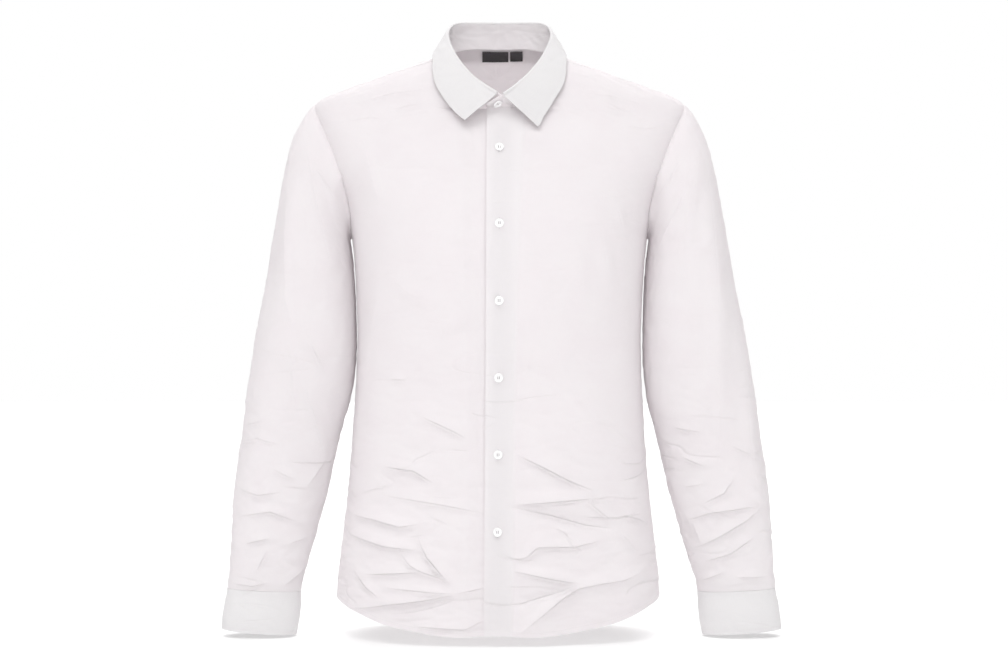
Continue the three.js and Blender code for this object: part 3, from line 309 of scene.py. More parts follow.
LEFT_SLEEVE_BACK = [
    crease([(228, -260), (250, -190), (270, -130)], 3.6, 18, 16, crisp=0.4),
    crease([(255, -430), (272, -370), (290, -310)], 3.2, 18, 16, crisp=0.3),
    crease([(225, -505), (270, -494), (318, -480)], 3.8, 16, 10),
    crease([(240, -535), (280, -540), (322, -555)], 4.0, 15, 9),
    crease([(250, -590), (312, -612)], 3.6, 13, 9),
    crease([(284, -518), (318, -512)], 2.2, 11, 8),
    crease([(288, -572), (328, -582)], 2.4, 11, 8),
    crease([(284, -630), (324, -636)], 2.6, 10, 7),
    crease([(214, -196), (234, -152)], 2.0, 11, 10),
    crease([(222, -468), (238, -444)], 2.0, 11, 9),
]

# How high the small crumples between those creases are.
BODY_CRUMPLE = named(["z", "height"], [
    [-740, 0.65], [-620, 0.7], [-540, 0.6], [-470, 0.5], [-400, 0.4], [-300, 0.3], [-200, 0.3],
    [-110, 0.4], [-60, 0.45], [24, 0.35],
])
SLEEVE_CRUMPLE = named(["z", "height"], [
    [-720, 0.65], [-600, 0.8], [-500, 0.75], [-420, 0.6], [-330, 0.5], [-200, 0.45], [-58, 0.45],
])

# ---------------------------------------------------------------- small mathematics


def mix(a, b, t):
    return a + (b - a) * t


def unit(vectors):
    return vectors / np.linalg.norm(vectors, axis=-1, keepdims=True)


def vector(x, y, z):
    return np.stack(np.broadcast_arrays(x, y, z), axis=-1).astype(float)


def smooth_step(start, end, value):
    t = np.clip((value - start) / (end - start), 0, 1)
    return t * t * (3 - 2 * t)


def powered(value, roundness=ROUND):
    return np.sign(value) * np.abs(value) ** (2 / roundness)


def curve(keys, values):
    """A smooth curve through a table's rows, as a function."""
    if keys[0] > keys[-1]:
        keys, values = keys[::-1], values[::-1]
    last = len(keys) - 1
    after = np.minimum(np.arange(last + 1) + 1, last)
    before = np.maximum(np.arange(last + 1) - 1, 0)
    slopes = (values[after] - values[before]) / (keys[after] - keys[before])

    def at(place):
        i = np.clip(np.searchsorted(keys, place, side="right") - 1, 0, last - 1)
        span = keys[i + 1] - keys[i]
        t = np.clip((place - keys[i]) / span, 0, 1)
        start = t * (1 - t) ** 2 * span * slopes[i]
        end = t * t * (1 - t) * span * slopes[i + 1]
        return mix(values[i], values[i + 1], t * t * (3 - 2 * t)) + start - end

    return at


def noise(points, size, seed):
    """Smooth noise from about -1 to 1, with waves of the lengths given in `size`."""
    rng = np.random.default_rng(seed)
    slopes = unit(rng.normal(size=(256, 3)))
    shuffle = rng.permutation(256)
    scaled = points / np.array(size, float)
    cell = np.floor(scaled).astype(int)
    inside = scaled - cell
    weights = inside ** 3 * (inside * (inside * 6 - 15) + 10)
    total = np.zeros(points.shape[:-1])
    for corner in itertools.product((0, 1), repeat=3):
        x, y, z = np.moveaxis(cell + corner, -1, 0)
        chosen = shuffle[(shuffle[(shuffle[x & 255] + y) & 255] + z) & 255]
        share = np.prod(np.where(corner, weights, 1 - weights), axis=-1)
        total += share * np.sum(slopes[chosen] * (inside - corner), axis=-1)
    return 1.7 * total


def crumple(points, size, seed):
    """Facets between sharp ridges and troughs, from about -1 to 1."""
    warp = np.array([noise(points, np.array(size) * 1.7, seed + 10 + axis) for axis in range(3)])
    bent = points + np.moveaxis(warp, 0, -1) * np.array(size) * 0.5
    ridges = np.abs(noise(bent, size, seed))
    troughs = np.abs(noise(bent, np.array(size) * 0.73, seed + 1))
    return 1.5 * (troughs - ridges)


FACET_POWER = 1.25  # 1 gives flat facets on both sides of a sharp crease
EDGE_WIDTH = 2.4  # a crisp crease falls steeply for this far below its line
EDGE_SHARE = 0.5


def to_crease(row, x, z):
    """Distance to a crease's line, the share of its length covered there, and whether it is above."""
    points = row["points"]
    lengths = np.hypot(*np.diff(points, axis=0).T)
    away = np.full(x.shape, np.inf)
    share = np.zeros(x.shape)
    over = np.zeros(x.shape, bool)
    covered = 0.0
    for (ax, az), (bx, bz), length in zip(points[:-1], points[1:], lengths):
        dx, dz = (bx - ax) / length, (bz - az) / length
        along = np.clip((x - ax) * dx + (z - az) * dz, 0, length)
        distance = np.hypot(x - ax - along * dx, z - az - along * dz)
        nearer = distance < away
        away = np.where(nearer, distance, away)
        share = np.where(nearer, (covered + along) / lengths.sum(), share)
        over = np.where(nearer, (z - az) * dx - (x - ax) * dz > 0, over)
        covered += length
    return away, share, over


def crease_rise(creases, x, z):
    """How far the creases lift the cloth at places seen from the front."""
    rise = np.zeros(x.shape)
    for row in creases:
        away, share, over = to_crease(row, x, z)
        reach = np.where(over, row["above"], mix(row["below"], row["below_end"], share))
        s = np.clip(away / reach, 0, 1)
        facet = (1 - s) ** FACET_POWER
        steep = mix(facet, np.exp(-away / EDGE_WIDTH) * (1 - s), EDGE_SHARE)
        sharp = np.where(over, facet, steep)
        soft = (1 - s * s) ** 2
        fullness = mix(0.25, 1, np.sin(np.pi * share) ** 0.8)
        rise += row["rise"] * fullness * mix(soft, sharp, row["crisp"])
    return rise


FOLD_REACH = 6.0  # how far from a crease's line its sharp edge reaches
FULL_FOLD = 3.2  # the rise from which a crease's edge is at its sharpest


def crease_marks(creases, x, z):
    """Which side of the nearest crease a place lies on, from -1 to 1, and how sharp it is there."""
    nearest = np.full(x.shape, FOLD_REACH)
    side, fold = np.ones(x.shape), np.zeros(x.shape)
    for row in creases:
        away, share, over = to_crease(row, x, z)
        sharpness = row["crisp"] * min(abs(row["rise"]) / FULL_FOLD, 1) * np.sin(np.pi * share) ** 0.6
        nearer = away < nearest
        nearest = np.where(nearer, away, nearest)
        side = np.where(nearer, np.where(over, away, -away) / FOLD_REACH, side)
        fold = np.where(nearer, sharpness * np.clip(1.2 - away / FOLD_REACH, 0, 1), fold)
    return side, fold


# ---------------------------------------------------------------- places on the torso form

TORSO_DOWN = np.append(0, np.cumsum(np.hypot(np.diff(TORSO["half"]), np.diff(TORSO["z"]))))
TORSO_LENGTH = TORSO_DOWN[-1]
torso_z = curve(TORSO_DOWN, TORSO["z"])
torso_half = curve(TORSO_DOWN, TORSO["half"])
torso_front = curve(TORSO_DOWN, TORSO["front"])
torso_back = curve(TORSO_DOWN, TORSO["back"])
lean_at = curve(LEAN["z"], LEAN["shift"])
hem_at = curve(HEM["turn"], HEM["z"])
FINE_DOWN = np.linspace(0, TORSO_LENGTH, 8001)
FINE_Z = torso_z(FINE_DOWN)


def down_of_z(z):
    return np.interp(-np.asarray(z, float), -FINE_Z, FINE_DOWN)


def form_point(turn, down):
    z = torso_z(down)
    depth = np.where(np.cos(turn) > 0, torso_front(down), torso_back(down))
    x = torso_half(down) * powered(np.sin(turn)) + lean_at(z)
    return vector(x, -depth * powered(np.cos(turn)), z)


def form_normal(turn, down):
    step = 0.01
    around = form_point(turn + step, down) - form_point(turn - step, down)
    along = form_point(turn, down + 1) - form_point(turn, np.maximum(down - 1, 0))
    return unit(np.cross(along, around))


def turn_of_x(x, down):
    share = np.minimum(np.abs(x) / torso_half(down), 1)
    return np.sign(x) * np.arcsin(share ** (ROUND / 2))


def spot_at(x, z, behind=False):
    """The spot (turn, down) at a distance from the centre and a height."""
    down = down_of_z(z)
    turn = turn_of_x(x, down)
    return (np.pi - turn if behind else turn), down


def spot_below(x, y):
    """The spots on the shoulders that are seen at (x, y) from above."""
    x, y = np.broadcast_arrays(np.asarray(x, float), np.asarray(y, float))

    def depth_at(down):
        return np.where(y < 0, torso_front(down), torso_back(down))

    low = np.zeros(x.shape)
    high = np.full(x.shape, TORSO_LENGTH)
    shoulder_end = down_of_z(SHOULDER_END_Z)
    for _ in range(40):
        middle = (low + high) / 2
        reach = (np.abs(x) / torso_half(middle)) ** ROUND + (np.abs(y) / depth_at(middle)) ** ROUND
        below = (middle > shoulder_end) | (reach < 1)
        high = np.where(below, middle, high)
        low = np.where(below, low, middle)
    down = (low + high) / 2
    sine = (np.abs(x) / torso_half(down)) ** (ROUND / 2)
    cosine = (np.abs(y) / depth_at(down)) ** (ROUND / 2)
    turn = np.arctan2(sine, cosine)
    return np.where(x < 0, -1, 1) * np.where(y < 0, turn, np.pi - turn), down


# ---------------------------------------------------------------- the crumpled cloth of the body

SIDE_SEAM_GROOVE = 0.7
STIFF_TO, LIMP_FROM = 12, 30  # the band is stitched, so it crumples less than the cloth beside it
body_crumple_height = curve(BODY_CRUMPLE["z"], BODY_CRUMPLE["height"])


def shoulder_frame(points):
    """Coordinates along and across the slope of the shoulders."""
    slope = math.radians(21)
    x, y, z = np.moveaxis(points, -1, 0)
    along = np.abs(x) * math.cos(slope) - z * math.sin(slope)
    across = np.abs(x) * math.sin(slope) + z * math.cos(slope)
    return vector(along + np.where(x < 0, 300, 0), y, across)


def body_rise(points, turn):
    x, _, z = np.moveaxis(points, -1, 0)
    facing = np.clip(np.abs(np.cos(turn)) / 0.35, 0, 1)
    front = np.cos(turn) > 0
    rise = facing * np.where(front, crease_rise(FRONT_CREASES, x, z), crease_rise(BACK_CREASES, x, z))
    small = 0.8 * crumple(points, (52, 52, 22), 3) + 0.6 * crumple(points, (30, 30, 9), 5)
    beside_band = mix(0.3, 1, smooth_step(STIFF_TO, LIMP_FROM, np.abs(x)))
    height = body_crumple_height(z) * np.where(front, beside_band, 1)
    by_collar = smooth_step(78, 98, np.abs(x) + 0.8 * np.maximum(-z - 30, 0))
    rise += small * height * mix(0.25, 1, by_collar)
    on_shoulder = smooth_step(-110, -40, z) * by_collar
    rise += 0.9 * on_shoulder * crumple(shoulder_frame(points), (52, 17, 9), 8)
    hang = smooth_step(-420, -690, z)
    rise += 2.6 * hang * noise(points, (62, 90, 420), 21)
    from_side = (np.abs(np.sin(turn)) - 1) * 200
    rise -= SIDE_SEAM_GROOVE * np.exp(-(from_side / 0.35) ** 2) * smooth_step(-200, -260, z)
    return rise


def mark_body(piece, turn, down):
    """Stores the creases' sharp lines on a panel of the body, for its material."""
    x, _, z = np.moveaxis(form_point(turn, down), -1, 0)
    front, back = crease_marks(FRONT_CREASES, x, z), crease_marks(BACK_CREASES, x, z)
    for name, ahead, behind in zip(("side", "fold"), front, back):
        attribute(piece, name, np.where(np.cos(turn) > 0, ahead, behind))


def body_cloth(turn, down):
    """The cloth's outer face at spots of the form, and the direction out of it."""
    turn, down = np.broadcast_arrays(np.asarray(turn, float), np.asarray(down, float))
    normal = form_normal(turn, down)
    point = form_point(turn, down)
    return point + normal * body_rise(point, turn)[..., None], normal


# ---------------------------------------------------------------- seams of the body

SIDE = np.pi / 2


def hem_spot(turn):
    return turn, down_of_z(hem_at(np.degrees(np.abs(turn))))


def neck_spot(turn):
    angle = np.radians(turn)
    return spot_below(NECK_HALF_WIDTH * np.sin(angle), NECK_MIDDLE_Y + NECK_HALF_DEPTH * np.cos(angle))


def shoulder_seam(t):
    """The yoke's front seam, from the neck to the armhole."""
    angle = math.radians(YOKE_NECK_TURN)
    x = mix(NECK_HALF_WIDTH * math.sin(angle), YOKE_SEAM_X, t)
    y = mix(NECK_MIDDLE_Y + NECK_HALF_DEPTH * math.cos(angle), YOKE_SEAM_Y, t)
    return spot_below(x, y)


HEM_SIDE_DOWN = hem_spot(SIDE)[1]
UNDERARM_DOWN = down_of_z(UNDERARM_Z)
TURN_SCALE = 200
ARMHOLE_STOPS = np.array([
    (SIDE, down_of_z(SHOULDER_TIP_Z)),
    shoulder_seam(1.0),
    *[spot_at(x, z) for x, z in ARMHOLE_FRONT],
    (SIDE, UNDERARM_DOWN),
    *[spot_at(x, z, behind=True) for x, z in ARMHOLE_BACK],
    spot_at(*SHOULDER_BACK, behind=True),
], float)
FRONT_STOP = 1
UNDERARM_STOP = FRONT_STOP + len(ARMHOLE_FRONT) + 1
YOKE_BACK_STOP = UNDERARM_STOP + len(ARMHOLE_BACK)
YOKE_BACK_STOP_BEFORE = YOKE_BACK_STOP - len(ARMHOLE_STOPS)


def armhole_spot(stop):
    """The spots of the armhole at stops, which need not be whole, on a closed curve through them."""
    stops = ARMHOLE_STOPS * (TURN_SCALE, 1)
    count = len(stops)
    stop = np.asarray(stop, float) % count
    i = np.floor(stop).astype(int)
    weight = (stop - i)[..., None]
    p0, p1, p2, p3 = (stops[(i + k) % count] for k in (-1, 0, 1, 2))

    def root(a, b):
        return np.linalg.norm(a - b, axis=-1, keepdims=True) ** 0.5

    d0, d1, d2 = root(p0, p1), root(p1, p2), root(p2, p3)
    start = ((p1 - p0) / d0 - (p2 - p0) / (d0 + d1) + (p2 - p1) / d1) * d1
    end = ((p2 - p1) / d1 - (p3 - p1) / (d1 + d2) + (p3 - p2) / d2) * d1
    square = -3 * p1 + 3 * p2 - 2 * start - end
    cube = 2 * p1 - 2 * p2 + start + end
    place = p1 + weight * (start + weight * (square + weight * cube))
    return place[..., 0] / TURN_SCALE, place[..., 1]


# ---------------------------------------------------------------- meshes

SHARP_FROM = 62  # degrees between two faces from which their edge shows as a sharp one


def axis_lengths(grid, axis):
    """Mean distance covered along a grid's rows or columns, for the weave."""
    steps = np.linalg.norm(np.diff(grid, axis=axis), axis=-1).mean(axis=1 - axis)
    return np.append(0, np.cumsum(steps))


def in_scene(name, data):
    item = bpy.data.objects.new(name, data)
    bpy.context.scene.collection.objects.link(item)
    return item


def finish_piece(name, mesh, material):
    mesh.materials.append(material)
    mesh.polygons.foreach_set("use_smooth", np.ones(len(mesh.polygons), bool))
    mesh.set_sharp_from_angle(angle=math.radians(SHARP_FROM))
    piece = in_scene(name, mesh)
    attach(piece, "root")
    return piece


def wall(name, outer, inner, material, loop=False):
    """A closed thin wall between two grids of points; `loop` joins the last column to the first."""
    rows, columns = outer.shape[:2]
    cells = columns if loop else columns - 1
    closed = np.concatenate([outer, outer[:, :1]], axis=1) if loop else outer
    u = axis_lengths(closed, 1) * MM
    v = axis_lengths(closed, 0) * MM
    faces = []
    weave = []

    def add(layers, row, column):
        faces.append(np.stack([
            layer * rows * columns + r * columns + c % columns
            for layer, r, c in zip(layers, row, column)], axis=-1).reshape(-1, 4))
        weave.append(np.stack([
            np.stack([u[c], v[r]], axis=-1) for r, c in zip(row, column)], axis=-2).reshape(-1, 4, 2))

    r, c = np.meshgrid(np.arange(rows - 1), np.arange(cells), indexing="ij")
    add((0, 0, 0, 0), (r, r, r + 1, r + 1), (c, c + 1, c + 1, c))
    add((1, 1, 1, 1), (r, r + 1, r + 1, r), (c, c, c + 1, c + 1))
    c = np.arange(cells)
    top, bottom = np.zeros(cells, int), np.full(cells, rows - 1)
    add((1, 1, 0, 0), (top, top, top, top), (c, c + 1, c + 1, c))
    add((0, 0, 1, 1), (bottom, bottom, bottom, bottom), (c, c + 1, c + 1, c))
    if not loop:
        r = np.arange(rows - 1)
        first, final = np.zeros(rows - 1, int), np.full(rows - 1, columns - 1)
        add((0, 0, 1, 1), (r, r + 1, r + 1, r), (first, first, first, first))
        add((1, 1, 0, 0), (r, r + 1, r + 1, r), (final, final, final, final))
    points = np.concatenate([outer.reshape(-1, 3), inner.reshape(-1, 3)]) * MM
    faces = np.concatenate(faces)
    weave = np.concatenate(weave)
    corners = points[faces]
    volume = np.sum(corners[:, 0] * np.cross(corners[:, 1], corners[:, 2]))
    volume += np.sum(corners[:, 0] * np.cross(corners[:, 2], corners[:, 3]))
    if volume < 0:
        faces, weave = faces[:, ::-1], weave[:, ::-1]
    mesh = bpy.data.meshes.new(name)
    mesh.from_pydata(points.tolist(), [], faces.tolist())
    mesh.uv_layers.new(name="weave").data.foreach_set("uv", weave.ravel())
    return finish_piece(name, mesh, material)


def attribute(piece, name, outer_values):
    """Stores one number for each point of a wall, the same on both of its faces."""
    values = np.concatenate([outer_values.ravel(), outer_values.ravel()])
    piece.data.attributes.new(name, "FLOAT", "POINT").data.foreach_set("value", values)


def joined(name, parts, material):
    """One mesh of many small closed ones, each (points in mm, faces)."""
    points, faces = [], []
    for part_points, part_faces in parts:
        start = len(points)
        points.extend((np.asarray(part_points) * MM).tolist())
        faces.extend([[start + index for index in face] for face in part_faces])
    mesh = bpy.data.meshes.new(name)
    mesh.from_pydata(points, [], faces)
    return finish_piece(name, mesh, material)


# ---------------------------------------------------------------- body panels


def patch(bottom, top, left, right, shares, heights):
    """Spots between four edges: columns stand at `shares` across and rows at `heights` up."""
    u, v = shares[None, :], heights[:, None]
    result = []
    for b, t, l, r in zip(bottom, top, left, right):
        across = mix(l[:, None], r[:, None], u)
        upward = mix(b[None, :], t[None, :], v)
        corners = mix(mix(b[0], b[-1], u), mix(t[0], t[-1], u), v)
        result.append(across + upward - corners)
    return result


def pieced(row, stops, functions):
    """A pair of arrays from one function for each stretch of rows between stops."""
    turn, down = np.zeros(row.shape), np.zeros(row.shape)
    for start, end, function in zip(stops[:-1], stops[1:], functions):
        chosen = (row >= start) & (row <= end)
        turn[chosen], down[chosen] = function((row[chosen] - start) / (end - start))
    return turn, down


def fine(stops, cells):
    """Places from stop to stop, with a number of cells in each stretch."""
    parts = [np.linspace(a, b, n, endpoint=False) for a, b, n in zip(stops[:-1], stops[1:], cells)]
    return np.append(np.concatenate(parts), stops[-1])


def front_layout():
    """A front's spots for the shirt's left side, with its rows and its distances from the centre."""
    hem_down = hem_spot(0.0)[1]
    chest_down = down_of_z(CHEST_ROW_Z)
    neck_down = neck_spot(NECK_LAP_TURN)[1]
    last = SKIRT_ROWS + CHEST_ROWS + NECK_ROWS
    row = np.linspace(0, last, last * 7 + 1)

    def edge(down):
        return turn_of_x(-BAND_HALF_WIDTH, down), down

    left = pieced(row, [0, SKIRT_ROWS, SKIRT_ROWS + CHEST_ROWS, last], [
        lambda t: edge(mix(hem_down, chest_down, t ** 1.15)),
        lambda t: edge(mix(chest_down, neck_down, t)),
        lambda t: neck_spot(mix(NECK_LAP_TURN, YOKE_NECK_TURN, t)),
    ])
    right = pieced(row, [0, SKIRT_ROWS, last], [
        lambda t: (np.full(t.shape, SIDE), mix(HEM_SIDE_DOWN, UNDERARM_DOWN, t ** 1.15)),
        lambda t: armhole_spot(mix(UNDERARM_STOP, FRONT_STOP, t)),
    ])
    edge_turn = turn_of_x(-BAND_HALF_WIDTH, hem_down)

    def share_of(x):
        return float((turn_of_x(x, hem_down) - edge_turn) / (SIDE - edge_turn))

    far = [mix(share_of(SINK_START), 1, 1 - (1 - t) ** 1.3) for t in np.linspace(0, 1, 9)]
    stops = [0, share_of(BAND_HALF_WIDTH), share_of(BAND_HALF_WIDTH + BAND_STEP), *far]
    shares = fine(stops, [13, 2, 8] + [11] * 8)
    bottom = hem_spot(mix(edge_turn, SIDE, shares))
    turn, down = patch(bottom, shoulder_seam(shares), left, right, shares, row / last)
    steps = np.interp(shares, stops, np.arange(len(stops)))
    return turn, down, row, steps


LAST_BAND_ROW = SKIRT_ROWS + CHEST_ROWS + 2
HEM_FOLD = 6.0  # width of the narrow hem
PLY_RIDGES = (-9.4, -5.2)  # where the edges of the band's inner ply show through, across it
PLY_RIDGE_WIDTH = 1.1
PLY_RIDGE_RISE = 0.22


def hem_rise(row_lengths):
    """The folded hem stands a little out, up to its line of stitches."""
    return 0.45 * (1 - smooth_step(HEM_FOLD - 1.5, HEM_FOLD + 1, row_lengths))


def front_panel(name, side, material):
    turn, down, row, steps = front_layout()
    turn = side * turn
    point, normal = body_cloth(turn, down)
    below_neck = (1 - smooth_step(LAST_BAND_ROW, LAST_BAND_ROW + 1, row))[:, None]
    from_hem = np.linalg.norm(point - point[:1], axis=-1)
    lift = hem_rise(from_hem)
    if side > 0:
        in_band = 1 - smooth_step(1, 2, steps)[None, :]
        lift = lift + BAND_RISE * in_band * below_neck
        ridges = sum(np.exp(-((point[..., 0] - x) / PLY_RIDGE_WIDTH) ** 2) for x in PLY_RIDGES)
        lift = lift + PLY_RIDGE_RISE * ridges * below_neck
    else:
        lift = lift - LAP_DEPTH * (1 - smooth_step(2, 3, steps)[None, :]) * below_neck
    outer = point + normal * lift[..., None]
    piece = wall(name, outer, outer - normal * CLOTH, material)
    mark_body(piece, turn, down)
    if side > 0:
        attribute(piece, "ply", np.broadcast_to(in_band, turn.shape) * below_neck)
    return piece


def yoke_back_seam(t):
    end_turn, end_down = armhole_spot(YOKE_BACK_STOP)
    middle_down = down_of_z(YOKE_BACK_Z)
    arch = np.abs(np.sin(np.pi * t)) ** 0.8
    return mix(end_turn, 2 * np.pi - end_turn, t), mix(end_down, middle_down, arch)


def back_panel(name, material):
    last = SKIRT_ROWS + BACK_ARM_ROWS
    row = np.linspace(0, last, last * 6 + 1)
    left = pieced(row, [0, SKIRT_ROWS, last], [
        lambda t: (np.full(t.shape, SIDE), mix(HEM_SIDE_DOWN, UNDERARM_DOWN, t ** 1.15)),
        lambda t: armhole_spot(mix(UNDERARM_STOP, YOKE_BACK_STOP, t)),
    ])
    right = (2 * np.pi - left[0], left[1])
    shares = np.linspace(0, 1, 177)
    turn = mix(SIDE, 2 * np.pi - SIDE, shares)
    bottom = (turn, hem_spot(np.minimum(turn, 2 * np.pi - turn))[1])
    turn, down = patch(bottom, yoke_back_seam(shares), left, right, shares, row / last)
    point, normal = body_cloth(turn, down)
    from_hem = np.linalg.norm(point - point[:1], axis=-1)
    outer = point + normal * hem_rise(from_hem)[..., None]
    piece = wall(name, outer, outer - normal * CLOTH, material)
    mark_body(piece, turn, down)
    return piece


def yoke_panel(name, material):
    last = 2 * SHOULDER_STEPS + YOKE_BACK_STEPS
    row = fine([0, SHOULDER_STEPS, last - SHOULDER_STEPS, last], [28, 140, 28])

    def arm_top(t):
        return armhole_spot(mix(FRONT_STOP, YOKE_BACK_STOP_BEFORE, t))

    def far_arm_top(t):
        turn, down = arm_top(1 - t)
        return 2 * np.pi - turn, down

    outer_edge = pieced(row, [0, SHOULDER_STEPS, last - SHOULDER_STEPS, last],
                        [arm_top, yoke_back_seam, far_arm_top])
    neck_turn, neck_down = neck_spot(mix(YOKE_NECK_TURN, -YOKE_NECK_TURN, row / last))
    inner_edge = (np.where(neck_turn < 0, neck_turn + 2 * np.pi, neck_turn), neck_down)
    shares = np.linspace(0, 1, 62)
    seam_turn, seam_down = shoulder_seam(shares)
    turn, down = patch((seam_turn, seam_down), (2 * np.pi - seam_turn, seam_down),
                       inner_edge, outer_edge, shares, row / last)
    point, normal = body_cloth(turn, down)
    on_top = 0.35 * smooth_step(0, 0.02, 1 - shares)[None, :]
    outer = point + normal * on_top[..., None]
    piece = wall(name, outer, outer - normal * (CLOTH + 0.3), material)
    mark_body(piece, turn, down)
    return piece


# ---------------------------------------------------------------- collar

FOLD = [curve(COLLAR_FOLD["turn"], COLLAR_FOLD[axis]) for axis in "xyz"]
EDGE = [curve(COLLAR_EDGE["turn"], COLLAR_EDGE[axis]) for axis in "xyz"]


def collar_at(curves, turn):
    x, y, z = (each(np.abs(turn)) for each in curves)
    return vector(np.sign(turn) * x, y, z)


def neck_sink(turn):
    """The neck seam's under side lies below the lap of the shirt's left side."""
    return LAP_DEPTH * smooth_step(150, 161, -turn)


def stand_section(turn):
    """The stand's foot and top at turns round the neck, and the directions up and out of it."""
    ahead = unit(form_point(*neck_spot(turn + 2)) - form_point(*neck_spot(turn - 2)))
    spot = neck_spot(turn)
    point = form_point(*spot)
    normal = form_normal(*spot)
    into_hole = unit(np.cross(ahead, normal))
    middle = vector(0, NECK_MIDDLE_Y, point[..., 2])
    inwards = np.sum(into_hole * (middle - point), axis=-1, keepdims=True)
    into_hole = np.where(inwards < 0, -into_hole, into_hole)
    foot = point + into_hole * SEAM_GAP + normal * SEAM_GAP
    top = collar_at(FOLD, turn)
    up = unit(top - foot)
    around = unit(collar_at(FOLD, turn + 2) - collar_at(FOLD, turn - 2))
    out = unit(np.cross(around, up))
    outwards = np.sum(out * (foot - vector(0, NECK_MIDDLE_Y, foot[..., 2])), axis=-1, keepdims=True)
    return foot, top, up, np.where(outwards < 0, -out, out)


def collar_stand(name, material):
    turns = np.linspace(-NECK_LAP_TURN, NECK_LAP_TURN, 281)
    heights = np.linspace(0, 1, 25)[:, None]
    foot, top, _, out = stand_section(turns)
    line = mix(foot[None], top[None], heights[..., None])
    rise = STAND_BELLY * np.sin(np.pi * heights) - neck_sink(turns)[None]
    inner_back = smooth_step(150, 120, np.abs(turns))[None]
    rise = rise + 0.5 * inner_back * crumple(line, (26, 26, 15), 31)
    outer = line + out[None] * rise[..., None]
    return wall(name, outer, outer - out[None] * TRIM, material)


# The fall's section over the top of the stand: distances out of the stand and up from its top.
FALL_ROLL = named(["out", "up"], [
    [-1.05, -0.35], [-1.05, 0.5], [-0.7, 1.4], [0.1, 2.1], [1.2, 2.1], [2.2, 1.4], [2.8, 0.4],
    [3.0, -0.6],
])


def fall_grid():
    """The fall's outer face: a row for each turn, columns from the stand's top to the edge."""
    turns = np.linspace(-FALL_END_TURN, FALL_END_TURN, 301)
    _, top, up, out = stand_section(turns)
    start = top - out * neck_sink(turns)[:, None] + up * LAY_GAP
    roll = [start + out * o + up * u for o, u in zip(FALL_ROLL["out"], FALL_ROLL["up"])]
    edge = collar_at(EDGE, turns)
    drop = smooth_step(POINT_DROP_TURN, FALL_END_TURN, turns)
    shift = smooth_step(POINT_SHIFT_TURN, FALL_END_TURN, turns)
    edge = edge + LEFT_POINT_DROP * vector(shift, drop, drop)
    face = unit(np.cross(collar_at(FOLD, turns + 2) - collar_at(FOLD, turns - 2), edge - roll[-1]))
    outwards = np.sum(face * out, axis=-1, keepdims=True)
    face = np.where(outwards < 0, -face, face)
    columns = list(roll)
    for t in np.linspace(0, 1, 34)[1:]:
        line = mix(roll[-1], edge, t)
        rise = FALL_BELLY * math.sin(math.pi * t)
        rise = rise + 0.5 * math.sin(math.pi * t) ** 0.5 * crumple(line, (34, 34, 20), 41)
        columns.append(line + face * rise[:, None])
    return turns, np.stack(columns, axis=1)


def grid_normals(grid, loop=False):
    """Directions square to a grid of points."""
    if loop:
        around = np.roll(grid, -1, axis=1) - np.roll(grid, 1, axis=1)
    else:
        around = np.gradient(grid, axis=1)
    return unit(np.cross(np.gradient(grid, axis=0), around))


def collar_fall(name, material):
    _, outer = fall_grid()
    normals = grid_normals(outer)
    outwards = np.sign(np.sum(normals[150, -1] * (0, 1, 0)))
    return wall(name, outer, outer - outwards * normals * TRIM, material)


# ---------------------------------------------------------------- sleeves and cuffs

SETTLED_RING = 5
SLEEVE_FRONT_STEPS = CHEST_ROWS + NECK_ROWS
SLEEVE_STOPS = [0, SLEEVE_FRONT_STEPS, SLEEVE_FRONT_STEPS + SHOULDER_STEPS,
                SLEEVE_FRONT_STEPS + SHOULDER_STEPS + BACK_ARM_ROWS]
SLEEVE_STOP_TURNS = [180, 20, -26, -180]
ARM_STOPS = [UNDERARM_STOP, FRONT_STOP, YOKE_BACK_STOP_BEFORE,
             UNDERARM_STOP - len(ARMHOLE_STOPS)]
sleeve_crumple_height = curve(SLEEVE_CRUMPLE["z"], SLEEVE_CRUMPLE["height"])
slimmer_outer = curve(RIGHT_SLIMMER["z"], RIGHT_SLIMMER["outer"])
slimmer_inner = curve(RIGHT_SLIMMER["z"], RIGHT_SLIMMER["inner"])


def rings_of(table, side, places):
    """Each column of a table of rings at places between its rows, slimmer on the shirt's right."""
    rows = np.arange(len(table["y"]), dtype=float)
    rings = {name: curve(rows, values)(places) for name, values in table.items()}
    if side < 0:
        rings["inner_x"] = rings["inner_x"] + slimmer_inner(rings["outer_z"])
        rings["outer_x"] = rings["outer_x"] - slimmer_outer(rings["outer_z"])
    return rings


def ring_point(rings, turn):
    """Points of rings of the left sleeve or cuff: a row for each ring and a column for each turn."""
    across = (1 + powered(np.cos(np.radians(turn)), SLEEVE_ROUND)) / 2
    deep = powered(np.sin(np.radians(turn)), SLEEVE_ROUND)
    column = {name: values[:, None] for name, values in rings.items()}
    x = mix(column["inner_x"], column["outer_x"], across[None])
    z = mix(column["inner_z"], column["outer_z"], across[None])
    return vector(x, column["y"] - column["depth"] * deep[None], z)


